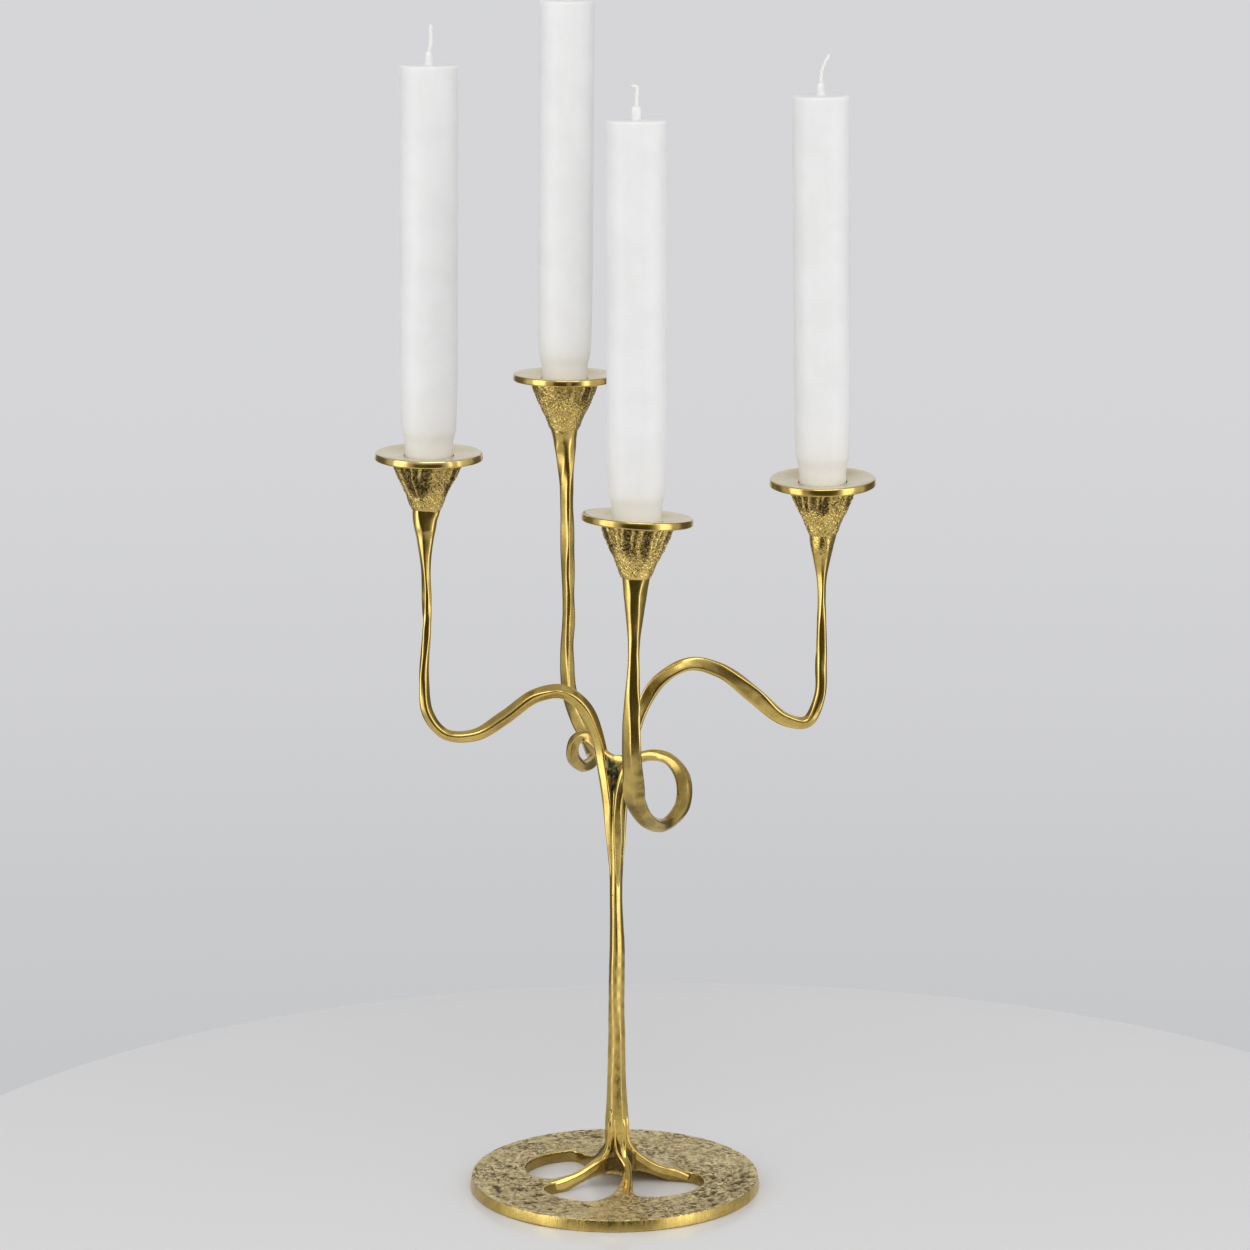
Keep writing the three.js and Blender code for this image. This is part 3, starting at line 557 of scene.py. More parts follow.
baseShape = {"radius": 65.0, "thickness": 5.4, "rimRound": 0.9, "hubTop": 30.0, "rootReach": 30.0,
             "hollowReach": 26.0, "hollowRise": 8.0, "skirtLean": 0.17, "skirtAzimuth": 65.0,
             "plateShift": -1.0,
             "around": 360, "perSpan": 16, "voxel": 0.6, "seed": 41, "swirl": 13.0, "rimLean": 0.75,
             # depths of the top's hammer marks, drag streaks and fine waves
             "hammer": 0.2, "streak": 0.1, "fine": 0.06,
             "rootLine": [(0, 1), (0.018, 0.634), (0.115, 0.45), (0.276, 0.305), (0.577, 0.114), (1, 0)],
             # rough webs between the roots: degrees about the stem, half width in degrees, depth; the height
             # of their pointed top at the middle and how far it falls to the sides; how rough they are
             "webs": [(-101, 31, 1.3), (-38, 17, 1.0), (168, 30, 0.6), (60, 60, 0.3)],
             "webTop": 24.6, "webFall": 5.0, "webRough": 0.16,
             # pits in the top: how many, and the middle in degrees and spread of the patches they favour
             "pits": 430, "patches": [(-142, 30), (-20, 34), (0, 360)], "pitDepths": (0.12, 0.42),
             # the front root's foot, rubbed smooth by handling
             "rubbed": (3.0, -46.0), "rubbedSize": (9.5, 12.0)}

# Outlines of the openings between the roots, as shares of the base's radius
openings = [
    [(-0.638, 0.138), (-0.585, 0.308), (-0.454, 0.446), (-0.3, 0.485), (-0.208, 0.338), (-0.132, 0.154),
     (-0.123, 0.038), (-0.194, -0.049), (-0.323, -0.102), (-0.477, -0.111), (-0.594, -0.031)],
    [(-0.498, -0.338), (-0.423, -0.206), (-0.277, -0.135), (-0.132, -0.102), (-0.035, -0.107),
     (0.04, -0.14), (0.04, -0.22), (0.026, -0.3), (-0.03, -0.45), (-0.169, -0.591), (-0.369, -0.523)],
    [(0.108, -0.132), (0.108, -0.3), (0.136, -0.468), (0.277, -0.498), (0.471, -0.409), (0.594, -0.215),
     (0.554, -0.022), (0.415, 0.052), (0.24, 0.025), (0.12, -0.04)],
]


def closedCurve(stops, perSpan):
    # The open curve above, run past both ends of the loop, with the overlap cut away
    stops = np.array(stops, float)
    looped = throughPoints(np.concatenate([stops[-3:], stops, stops[:3]]), perSpan)
    return looped[3 * perSpan:(3 + len(stops)) * perSpan]


def openingLoops():
    return [closedCurve(outline, baseShape["perSpan"]) * baseShape["radius"] for outline in openings]


def baseBlank():
    # The disc and its skirt of roots are one profile turned about the stem's axis. The skirt leans: it is
    # raised on one side by the cosine of the heading. The plate is a little off the axis.
    s = baseShape
    hub, edge = stemShape["hubRadius"], s["radius"] - s["rimRound"]
    reach, rise = s["rootReach"] - hub, s["hubTop"] - s["thickness"]
    roots = np.array([(hub + r * reach, s["thickness"] + z * rise) for r, z in s["rootLine"]])
    share = np.linspace(1, 0, 12)[:-1]
    hollow = np.stack([s["hollowReach"] * share, s["hollowRise"] * (1 - share ** 2) ** 1.5], 1)
    plate = np.stack([np.linspace(s["rootReach"], edge, 20)[1:], np.full(19, s["thickness"])], 1)
    turn = np.linspace(0, np.pi / 2, 6)[1:]
    rim = np.stack([edge + s["rimRound"] * np.sin(turn),
                    s["thickness"] - s["rimRound"] * (1 - np.cos(turn))], 1)
    under = np.array([(s["radius"], s["rimRound"]), (edge, 0)])
    profile = np.concatenate([throughPoints(roots, 8, 0.5), plate, rim, under, hollow])
    rings = roundAxis(profile[:, :1], profile[:, 1:], fullTurn(s["around"]))
    x, y, z = rings[..., 0], rings[..., 1], rings[..., 2]
    rings[..., 2] += rise * skirtTilt(x, y, np.clip((z - s["thickness"]) / rise, 0, 1))
    outward = np.maximum(0, (np.hypot(x, y) - s["rootReach"]) / (s["radius"] - s["rootReach"]))
    rings[..., 0] += s["plateShift"] * outward
    return tubeFromRings("base_blank", rings)


def skirtTilt(x, y, climb):
    # What the skirt's lean adds to a climb from the plate at 0 to the hub's top at 1
    facing = np.cos(np.arctan2(y, x) - math.radians(baseShape["skirtAzimuth"]))
    return climb * baseShape["skirtLean"] * facing * 4 * climb * (1 - climb)


def skirtHeight(x, y):
    # Height of the roots' skirt over a point in plan, by the line that the blank is turned from
    s, hub = baseShape, stemShape["hubRadius"]
    line = throughPoints(s["rootLine"], 8, 0.5)
    climb = np.interp((np.hypot(x, y) - hub) / (s["rootReach"] - hub), line[:, 0], line[:, 1])
    return s["thickness"] + (s["hubTop"] - s["thickness"]) * (climb + skirtTilt(x, y, climb))


def openingCutter(loop, index):
    # An upright prism on an opening's outline, taller than the base
    rings = np.stack([np.column_stack([loop, np.full(len(loop), z)]) for z in (-30.0, 45.0)])
    return tubeFromRings(f"opening_cutter_{index}", rings)


def cutDisc():
    # The blank is cut by the three openings and remeshed in small even cells, which rounds its edges as
    # casting does
    blank = baseBlank()
    cutters = [openingCutter(loop, k) for k, loop in enumerate(openingLoops())]
    for cutter in cutters:
        hole = blank.modifiers.new("hole", "BOOLEAN")
        hole.operation, hole.solver, hole.object = "DIFFERENCE", "EXACT", cutter
    cells = blank.modifiers.new("cells", "REMESH")
    cells.mode, cells.voxel_size = "VOXEL", baseShape["voxel"] / 1000
    soften = blank.modifiers.new("soften", "SMOOTH")
    soften.factor, soften.iterations = 0.5, 2
    graph = bpy.context.evaluated_depsgraph_get()
    mesh = bpy.data.meshes.new_from_object(blank.evaluated_get(graph))
    for helper in [blank, *cutters]:
        bpy.data.objects.remove(helper)
    return mesh


def meshArrays(mesh):
    # The mesh's points in millimetres from the stem's axis, and their normals
    read = []
    for source, field in ((mesh.vertices, "co"), (mesh.vertex_normals, "vector")):
        values = np.empty(len(mesh.vertices) * 3, np.float32)
        source.foreach_get(field, values)
        read.append(values.reshape(-1, 3).astype(float))
    return read[0] * 1000 + middle, read[1]


def outlineDistance(points):
    # Distance in plan from every point to the nearest corner of the openings' closely stepped outlines
    loops = np.concatenate(openingLoops())
    nearest = np.full(len(points), np.inf)
    for part in np.array_split(loops, 16):
        gap = np.hypot(points[:, :1] - part[:, 0], points[:, 1:2] - part[:, 1])
        nearest = np.minimum(nearest, gap.min(1))
    return nearest


def pitField(radius, azimuth, warp):
    # Each pit is a bell curve, longer round the disc than across it, turned by its own angle. The
    # warp bends their outlines. The deepest one wins where they overlap.
    s, count = baseShape, baseShape["pits"]
    rng = np.random.default_rng(s["seed"])
    away = np.sqrt(rng.uniform(0.18, 1, count)) * (s["radius"] - 3.5)
    patch = rng.integers(0, len(s["patches"]), count)
    centre, spread = np.array(s["patches"], float)[patch].T
    heading = np.radians(centre + spread * rng.uniform(-1, 1, count) * rng.uniform(0.3, 1, count))
    size = 0.45 + 1.25 * rng.uniform(0, 1, count) ** 2.2
    stretch = rng.uniform(1.1, 2.4, count)
    tilt = rng.normal(0, 0.45, count)
    depth = rng.uniform(*s["pitDepths"], count)
    dent = np.zeros(len(radius))
    for k in np.array_split(np.arange(count), 16):
        across = radius[:, None] - away[k] + warp[:, :1]
        aside = wrapped(azimuth[:, None] - heading[k]) * away[k] + warp[:, 1:]
        u = (across * np.cos(tilt[k]) + aside * np.sin(tilt[k])) / size[k]
        v = (aside * np.cos(tilt[k]) - across * np.sin(tilt[k])) / (size[k] * stretch[k])
        pit = depth[k] * smoothStep(1.25, 0.45, np.hypot(u, v))
        dent = np.maximum(dent, pit.max(1))
    return dent


def hubShrink(points):
    # By what share each point of the hub comes in toward the axis, so that the hub's skin takes the stem's
    # sides from below and slips under the stem at its top
    away, heading = np.hypot(points[:, 0], points[:, 1]), np.arctan2(points[:, 1], points[:, 0])
    column = np.flatnonzero((away < 12) & (points[:, 2] > 12))
    high, away = points[column, 2], away[column]
    normals, distances = stemSides(high, hubRadiusAt(high))
    sides, _ = facetSection(heading[column], normals, distances, stemShape["sharpness"])
    faceted = away * (1 + (sides / stemShape["hubRadius"] - 1) * smoothStep(12, 19, high))
    under = sides - 0.4 * smoothStep(27.5, 29.5, high)
    follow = smoothStep(19, 23, high)
    shrink = np.zeros(len(points))
    shrink[column] = 1 - (faceted * (1 - follow) + under * follow) / away
    return shrink


def rootWebs(points, normals):
    # Rough webs sink between the roots, each up to a point like an arch: how dark and how deep they are
    s = baseShape
    away, height = np.hypot(points[:, 0], points[:, 1]), points[:, 2]
    heading = np.degrees(np.arctan2(points[:, 1], points[:, 0]))
    web, sink = np.zeros(len(points)), np.zeros(len(points))
    for azimuth, half, depth in s["webs"]:
        offset = np.abs((heading - azimuth + 180) % 360 - 180) / half
        crown = s["webTop"] - s["webFall"] * offset
        share = smoothStep(1.0, 0.8, offset) * smoothStep(crown, crown - 1.3, height)
        share = share * smoothStep(3, 6, height)
        share *= smoothStep(15, 12, away) * smoothStep(-0.35, 0.05, normals[:, 2])
        web = np.maximum(web, share * min(1, depth * 1.4))
        sink = np.maximum(sink, share * depth)
    cast = ripple(points, 2.2, s["seed"] + 8, 26)
    return web, sink + web * s["webRough"] * np.maximum(cast, -0.5)


def baseDisc():
    # Every point of the cut disc is moved along its normal by formulas: webs between the roots, and on the
    # top shallow hammer marks, pits and drag streaks. Then the hub is drawn in and the rim made true.
    s = baseShape
    mesh = cutDisc()
    points, normals = meshArrays(mesh)
    height, upward, seed = points[:, 2], normals[:, 2], s["seed"]
    web, sink = rootWebs(points, normals)
    edge = outlineDistance(points)
    # The openings' walls get a mask by which their colour is darkened: painted shade
    wall = smoothStep(1.3, 0.5, edge) * smoothStep(0.75, 0.35, np.abs(upward))
    # The openings' upward-facing lips are marked for a brighter colour: partly rubbed wear, partly a painted
    # highlight
    lip = np.exp(-((edge - 0.25) / 0.5) ** 2) * smoothStep(0.1, 0.5, upward)
    lip *= smoothStep(11, 16, np.hypot(points[:, 0], points[:, 1]))
    # The plate is worked out about its own centre
    shift = np.array([s["plateShift"], 0])
    centred = points[:, :2] - shift
    radius, azimuth = np.hypot(*centred.T), np.arctan2(centred[:, 1], centred[:, 0])
    level = 1 - smoothStep(s["thickness"] + 1.2, s["thickness"] + 6, height)
    plate = smoothStep(0.6, 0.95, upward) * level
    # Coordinates that follow the turning: slow round the disc, fast across it, with no seam
    swirl = roundAxis(s["swirl"], radius + 1.1 * ripple(points, 22, seed + 5, 10), azimuth)
    streak = smoothStep(0.35, 1.6, ripple(swirl * (1.6, 1.6, 2.6), 9.0, seed, 22))
    flat = points * (1, 1, 0)
    hammer, fine = ripple(flat, 8.0, seed + 1, 20), ripple(flat, 2.6, seed + 2, 24)
    warp = np.stack([ripple(flat, 2.2, seed + 6, 14), ripple(flat, 2.2, seed + 7, 14)], 1) * 0.3
    dent = np.zeros(len(points))
    top = np.flatnonzero(plate > 0.02)
    dent[top] = pitField(radius[top], azimuth[top], warp[top])
    # Marks are faint at the rim, on the openings' lips and where the foot is rubbed
    calm = (1 - 0.85 * smoothStep(s["radius"] - 3.6, s["radius"] - 1.6, radius)) * (1 - 0.7 * lip)
    calm *= 1 - 0.4 * bell(points[:, :2], s["rubbed"], s["rubbedSize"])
    fall = s["hammer"] * smoothStep(0.1, 1.8, hammer) + s["streak"] * streak + dent
    fall = fall + s["fine"] * np.maximum(fine, 0)
    shrink = hubShrink(points)
    points = points - normals * (plate * calm * fall + sink)[:, None]
    points[:, :2] *= (1 - shrink)[:, None]
    # The rim is drawn out to the true circle, less a trace of unevenness and a lean toward the top
    target = s["radius"] - 0.04 - 0.05 * (1 + ripple(points, 14, seed + 3, 12).clip(-1, 1))
    target = target - s["rimLean"] * np.clip(points[:, 2] / s["thickness"], 0, 1) ** 1.6
    nearEdge = smoothStep(s["radius"] - 1.5, s["radius"] - 0.5, radius)
    stretch = 1 + nearEdge * (target / np.maximum(radius, 1) - 1)
    points[:, :2] = (points[:, :2] - shift) * stretch[:, None] + shift
    points[:, 2] = np.maximum(points[:, 2], 0.0)
    mesh.vertices.foreach_set("co", ((points - middle) / 1000).astype(np.float32).ravel())
    mesh.update()
    mesh.shade_smooth()
    stain = 0.5 * streak * smoothStep(-0.6, 0.8, fine) + 0.3 * smoothStep(0.3, 1.8, hammer)
    recess = np.clip(np.maximum(dent * 3.0, stain) * calm, 0, 1) * plate
    fields = {"plate": plate * (1 - 0.8 * lip), "recess": recess, "web": np.clip(web, 0, 1), "wall": wall,
              "lip": lip}
    for field, values in fields.items():
        addField(mesh, field, values)
    layer = mesh.attributes.new("swirl", "FLOAT_VECTOR", "POINT")
    layer.data.foreach_set("vector", swirl.astype(np.float32).ravel())
    piece = bpy.data.objects.new("base_disc", mesh)
    bpy.context.scene.collection.objects.link(piece)
    print("base points:", len(points))
    return piece


# Ribs along the roots. A path's stops are x, y and half width in plan and the lift above the skirt, from
# inside the stem out to the plate. The sides are in degrees from upright, with their distances as shares
# of the half width.
rootShape = {"proud": 0.45, "lowest": 1.5, "perSide": 8, "perSpan": 30, "spacing": 0.5, "sharpness": 16.0,
             "seed": 61,
             "sides": [(0, 0.78), (48, 0.86), (100, 1.0), (180, 1.3), (260, 1.0), (312, 0.86)],
             "paths": {"left": [(-1.4, -1.9, 0.8, 14), (-2.4, -2.8, 0.9, 6), (-2.9, -3.1, 1.0, 2.5),
                                (-3.6, -3.5, 1.2, 0), (-5.1, -4.3, 1.4, 0), (-6.9, -4.8, 1.6, 0),
                                (-9.4, -5.3, 1.8, 0), (-13, -6.4, 1.8, 0), (-19, -8.3, 2.0, 0),
                                (-26, -10.3, 2.4, 0), (-31, -11.9, 2.2, -0.3), (-35, -13.2, 1.8, -1.8)],
                       "front": [(1.6, -1.7, 0.7, 14), (2.3, -2.9, 0.8, 6), (2.7, -3.3, 0.9, 2.5),
                                 (3.1, -4.0, 1.0, 0), (3.4, -5.8, 1.2, 0), (3.7, -8.2, 1.4, 0),
                                 (4.6, -11.5, 1.6, 0), (4.9, -15, 1.7, 0), (4.7, -20, 1.9, 0),
                                 (4.0, -26, 2.6, 0), (2.8, -33, 2.2, -2.0)],
                       "spur": [(-0.9, -3.3, 0.4, 3), (-1.0, -4.7, 0.45, 1), (-0.6, -5.5, 0.5, 0),
                                (0.5, -6.6, 0.6, 0), (2.2, -8.2, 0.8, 0), (3.8, -10.4, 0.8, 0),
                                (4.4, -13, 0.7, -1.5)],
                       "right": [(2.2, -0.4, 0.8, 14), (3.8, -0.9, 0.9, 6), (4.2, -1.0, 1.0, 2.5),
                                 (4.9, -1.1, 1.2, 0), (6.2, -1.1, 1.5, 0), (8.8, -0.4, 1.8, 0),
                                 (14, 0.6, 1.7, 0), (21, 1.9, 1.7, 0), (28, 2.2, 1.6, 0),
                                 (33, 1.4, 1.2, -2.0)]}}


def rootRib(name):
    # A low ridge laid along a root: its path lies on the skirt, and its section is a strip with bevelled
    # edges, standing a little proud
    s = rootShape
    plan = throughPoints(s["paths"][name], s["perSpan"])
    x, y, width, lift = plan.T
    curve, along = evenly(np.stack([x, y, skirtHeight(x, y) + lift, width], 1), s["spacing"])
    # A running mean of nine steps takes the kinks out
    smooth = np.stack([np.convolve(np.pad(column, 4, "edge"), np.ones(9) / 9,
                                   "valid") for column in curve.T], 1)
    points, half = smooth[:, :3], smooth[:, 3]
    tangent = unit(np.gradient(points, axis=0))
    aside = unit(np.cross(tangent, [0, 0, 1.0]))
    upward = np.cross(aside, tangent)
    headings, shares = np.array(s["sides"], float).T
    distances = shares * half[:, None] * (1 + 0.05 * wavers(along, 14, s["seed"], 6, 6))
    angles, radius, ridge = sidedSection(np.radians(headings) + 0 * distances, distances, s)
    points = points + upward * (s["proud"] - shares[0] * half)[:, None]
    rings = ringsAlong(points, upward, aside, radius, angles)
    rings[..., 2] = np.maximum(rings[..., 2], s["lowest"])
    return tubeFromRings("root_rib_" + name, rings, ridge=ridge)


# Cups, pans, candles, wicks

def turned(name, profile, columns, head, lean, shape, shift=0.0):
    # A profile of radius and height turned about a head's axis; `shape` may move the points first
    radius, height, angles = np.broadcast_arrays(profile[:, :1], profile[:, 1:], fullTurn(columns))
    radius, height, fields = shape(radius, height, angles)
    return tubeFromRings(name, atHead(roundAxis(radius, height, angles), head, lean, shift), **fields)


def cupFolds(head):
    # Heading, width, bend, end and height of each upright fold on a cup
    s, rng = cupShape, np.random.default_rng(head["seed"])
    count, reach, _ = head["folds"]
    headings = (np.arange(count) + rng.uniform(-0.3, 0.3, count)) * 2 * np.pi / count
    widths, bends = rng.uniform(*s["foldWidths"], count), rng.uniform(*s["foldBends"], count)
    ends, heights = reach * rng.uniform(*s["foldEnds"], count), rng.uniform(*s["foldHeights"], count)
    return list(zip(headings, widths, bends, ends, heights))


def cupBody(name):
    # The outside follows a curve from under the pan to the foot. Narrow upright folds, each a bell curve
    # round the cup, stand between hollows under the rim; the grain is soft random fields, as sand leaves
    # on a casting.
    head, s = heads[name], cupShape
    outline = np.array(s["outline"]) * (head["cupScale"], -1)
    # Under the pan all four cups are as wide
    outline[0, 0] = s["outline"][0][0]
    outer = throughPoints(outline, s["perSpan"], 0.5)
    top, foot = outer[0, 1], outer[-1, 1]
    inner = [(0.4, -s["socketDepth"]), (s["socketFloor"], -s["socketDepth"]), (s["socketRadius"], top)]
    under = [(outer[-1, 0] - 0.7, foot - 0.12), (s["tenonRadius"], foot - 0.12)]
    profile = np.concatenate([inner, outer, under])
    _, reach, darkness = head["folds"]
    seed, folds = head["seed"], cupFolds(head)

    def shape(radius, height, angles):
        outside = np.zeros_like(radius)
        outside[len(inner):-len(under)] = 1
        share = np.clip((top - height) / (top - foot), 0, 1)
        spot = roundAxis(radius, height, angles)
        fold = np.zeros_like(radius)
        for heading, width, bend, end, tall in folds:
            off = wrapped(angles - heading - bend * share + 0.03 * np.sin(9 * share + heading))
            fold = np.maximum(fold, tall * np.exp(-(off / width) ** 2) * smoothStep(end, end - 0.3, share))
        patch = ripple(roundAxis(5, 0, angles), 5, seed + 6, 12).clip(-1, 1)
        upper = smoothStep(reach + 0.12 * patch, reach - 0.32, share)
        grain = ripple(spot, 1.5, seed + 1, 30) + 0.9 * ripple(spot, 0.85, seed + 2, 30)
        # The grain is coarsest at the waist, and both it and the swell end at the rim and the foot
        waist = 0.35 + 0.65 * np.exp(-((share - 0.45) / 0.25) ** 2)
        fade = smoothStep(1.0, 0.92, share) * smoothStep(0.0, 0.03, share)
        flutes = s["fluteDepth"] * darkness ** 0.5 * (1 - fold) * upper * smoothStep(0, 0.06, share)
        rough = s["grain"] * waist * grain.clip(-1.2, 2) + 0.08 * ripple(spot, 4.0, seed + 3, 16)
        # The hollows between the folds on the upper part are darkened, partly oxide and partly painted
        # shade; the last term of the recess darkens a band just under the pan as painted shade
        hollow = upper * (1 - 1.25 * fold) * darkness * (0.62 + 0.38 * patch)
        recess = hollow + 0.2 * np.maximum(grain, 0) * waist + 0.12 * smoothStep(0.4, 0, share)
        sunk = flutes + fade * (rough - s["swell"])
        return radius - outside * sunk, height, {"recess": np.clip(recess, 0, 1) * outside}

    return turned("cup_cast_" + name, profile, s["around"], head, head["cupLean"], shape, head["cupShift"])


panShape = {"hole": 10.75, "round": 0.75, "dish": 1.2, "around": 224, "across": 16, "corner": 6}


def panDish(name):
    # A ring whose upper face is a shallow dish, a smooth curve down to the hole; its edge and thickness
    # waver by a few hundredths, as hand finishing leaves them
    head, s = heads[name], panShape
    outer, hole, r, crest = head["panRadius"], s["hole"], s["round"], head["rimRise"]
    bottom = crest - head["panThickness"]
    turn = np.linspace(0, np.pi / 2, s["corner"])
    upper = np.stack([outer - r + r * np.sin(turn), crest - r + r * np.cos(turn)], 1)
    lower = np.stack([outer - r + r * np.cos(turn), bottom + r - r * np.sin(turn)], 1)
    across = np.linspace(hole, outer - r, s["across"])[1:-1]
    slope, least = smoothStep(hole - 4, outer - 1.2, across), smoothStep(hole - 4, outer - 1.2, hole)
    fall = crest - (s["dish"] + crest) * (1 - slope) / (1 - least)
    profile = np.concatenate([[(hole, bottom), (hole, -s["dish"] - 0.2), (hole + 0.2, -s["dish"])],
                              np.stack([across, fall], 1)[1:], upper, lower,
                              np.stack([across[::-1], 0 * across + bottom], 1)])
    angles = fullTurn(s["around"])
    radius, height = profile[:, :1] + 0 * angles, profile[:, 1:] + 0 * angles
    far = smoothStep(outer - 3, outer, radius)
    circle = roundAxis(outer, 0, angles)
    radius = radius - 0.015 * far * (2 + ripple(circle, 16, head["seed"] + 30, 12).clip(-2, 2))
    radius = radius - head["rimSlope"] * far * smoothStep(bottom + r, crest, height)
    waver = 0.05 * (1 + ripple(circle, 22, head["seed"] + 31, 12).clip(-1, 1))
    height = height + np.where(height > bottom / 2, -1, 1) * far * waver
    rows, columns = radius.shape
    points = atHead(roundAxis(radius, height, angles), head, head["panLean"]).reshape(-1, 3)
    # The section is a closed loop, so its last row is joined to its first
    faces = gridFaces(rows + 1, columns) % (rows * columns)
    rim = np.maximum(smoothStep(outer - 0.7, outer - 0.3, radius), height < bottom + 0.4)
    return meshFromArrays("pan_dish_" + name, points, [faces], rim=rim)


candleShape = {"radius": 12.5, "floorRadius": 6.55, "floor": -11.2, "round": 1.1, "collarHeight": 5.6,
               "around": 128,
               # radius and height of the foot, which widens slowly into the body
               "taper": [(10.35, -2.4), (10.4, 1.2), (10.5, 3.6), (10.75, 5.6), (11.2, 7.4), (11.65, 9.4),
                         (11.92, 12),
                         (12.1, 16), (12.25, 22), (12.4, 32), (12.5, 46)],
               # where the collar starts on the top, its radius, and what it widens by at its foot
               "collarStart": 2.4, "collarRadius": 1.15, "collarFlare": 0.5, "collarDome": 0.65}


def waxCandle(name):
    # A turned body, drawn in toward its foot, with a round shoulder and a small domed collar at the wick.
    # Its skin swells and sinks by a few hundredths of a millimetre.
    head, s = heads[name], candleShape
    length, r = head["candleLength"], s["round"]
    turn = np.linspace(0, np.pi / 2, 12)
    foot = [(s["floorRadius"], s["floor"]), (s["floorRadius"] + 0.3, s["floor"] + 0.1)]
    body = np.linspace(s["taper"][-1][1], length - r, 90)[1:-1]
    body = np.stack([0 * body + s["radius"], body], 1)
    crown = np.stack([s["radius"] - r * (1 - np.cos(turn)), length - r * (1 - np.sin(turn))], 1)
    flat = np.linspace(s["radius"] - r, s["collarStart"], 8)[1:]
    flat = np.stack([flat, 0 * flat + length], 1)
    rise = np.linspace(0, 1, 10)
    collar = s["collarRadius"] + s["collarFlare"] * (1 - rise) ** 6
    collar = collar + s["collarDome"] * np.sqrt(1 - rise ** 6)
    collar = np.stack([collar, length + s["collarHeight"] * rise], 1)
    profile = np.concatenate([foot, throughPoints(s["taper"], 6, 0.5), body, crown, flat, collar])

    def shape(radius, height, angles):
        swell = np.abs(ripple(roundAxis(radius, height * 0.35, angles), 16, head["seed"] + 40, 12))
        pinch = 0.3 * np.sin(2 * angles + head["seed"]) * smoothStep(length - 1, length + 3, height)
        radius = radius - 0.05 * swell * (radius > 8) + pinch * (radius < 3)
        return radius, height, {"foot": 1 - smoothStep(-2, 34, height)}

    return turned("wax_candle_" + name, profile, s["around"], head, head["candleLean"], shape,
                  head["candleShift"])


wickShape = {"radius": 0.84, "around": 15, "strands": 3, "twist": 2.4, "sink": 1.2, "spacing": 0.16,
             "fray": 0.35}


def cottonWick(name):
    # A cord of three strands: the section's radius swells three times round, and turns as it goes up
    head, s = heads[name], wickShape
    start = head["candleLength"] + candleShape["collarHeight"]
    stops = [(0, 0, start - s["sink"])] + [(x, 0, start + z) for x, z in head["wick"][1:]]
    curve, along = evenly(throughPoints(stops, 24), s["spacing"])
    wide = np.array([0, 1.0, 0]) + 0 * curve
    deep = unit(np.cross(wide, np.gradient(curve, axis=0)))
    angles = fullTurn(s["around"]) + 0 * along[:, None]
    strand = np.cos(s["strands"] * angles + s["twist"] * along[:, None])
    fray = 1 - s["fray"] * smoothStep(along[-1] - 1.2, along[-1], along)[:, None]
    rings = ringsAlong(curve, deep, wide, s["radius"] * fray * (0.94 + 0.06 * strand), angles)
    rings = atHead(rings, head, head["candleLean"], head["candleShift"])
    return tubeFromRings("cotton_wick_" + name, rings, strand=0.5 + 0.5 * strand)


# Materials

class Nodes:
    # Short calls that add nodes to one tree. A feed may be another node's socket or a plain value.
    def __init__(self, tree):
        self.tree = tree
        self.place = None

    def add(self, kind, feeds=None, **settings):
        node = self.tree.nodes.new(kind)
        for key, value in settings.items():
            setattr(node, key, value)
        for key, feed in (feeds or {}).items():
            self.join(feed, node.inputs[key])
        return node

    def join(self, feed, socket):
        if isinstance(feed, bpy.types.NodeSocket):
            self.tree.links.new(feed, socket)
        else:
            socket.default_value = feed

    def maths(self, operation, *feeds, clamp=False):
        node = self.add("ShaderNodeMath", dict(enumerate(feeds)), operation=operation, use_clamp=clamp)
        return node.outputs[0]

    def times(self, product, *others):
        for other in others:
            product = self.maths("MULTIPLY", product, other)
        return product

    def plus(self, first, second, clamp=False):
        return self.maths("ADD", first, second, clamp=clamp)

    def less(self, first, second, clamp=False):
        return self.maths("SUBTRACT", first, second, clamp=clamp)

    def most(self, first, second, clamp=False):
        return self.maths("MAXIMUM", first, second, clamp=clamp)

    def remap(self, feed, low, high, toLow=0.0, toHigh=1.0):
        ends = {"Value": feed, "From Min": low, "From Max": high, "To Min": toLow, "To Max": toHigh}
        return self.add("ShaderNodeMapRange", ends, interpolation_type="SMOOTHSTEP").outputs["Result"]

    def noise(self, scale, detail=4.0, roughness=0.55, vector=None):
        feeds = {"Vector": self.place if vector is None else vector,
                 "Scale": scale, "Detail": detail, "Roughness": roughness}
        return self.add("ShaderNodeTexNoise", feeds).outputs["Fac"]

    def stretched(self, vector, scale):
        return self.add("ShaderNodeVectorMath", {0: vector, 1: scale},
                        operation="MULTIPLY").outputs["Vector"]

    def field(self, name, output="Fac"):
        # One of the values that the shapes above give to every point
        return self.add("ShaderNodeAttribute", attribute_name=name).outputs[output]

    def mix(self, factor, first, second):
        return self.add("ShaderNodeMix", {0: factor, 6: first, 7: second}, data_type="RGBA").outputs[2]

    def group(self, kind, feeds):
        return self.add("ShaderNodeGroup", {"Vector": self.place, **feeds}, node_tree=groups[kind]).outputs


def newGroup(name, inputs, outputs):
    # A node group with named sockets: an input has a type and a first value, an output a type
    tree = bpy.data.node_groups.new(name, "ShaderNodeTree")
    for label, (kind, value) in inputs.items():
        socket = tree.interface.new_socket(label, in_out="INPUT", socket_type="NodeSocket" + kind)
        if value is not None:
            socket.default_value = value
    for label, kind in outputs.items():
        tree.interface.new_socket(label, in_out="OUTPUT", socket_type="NodeSocket" + kind)
    nodes = Nodes(tree)
    return nodes, nodes.add("NodeGroupInput").outputs, nodes.add("NodeGroupOutput").inputs


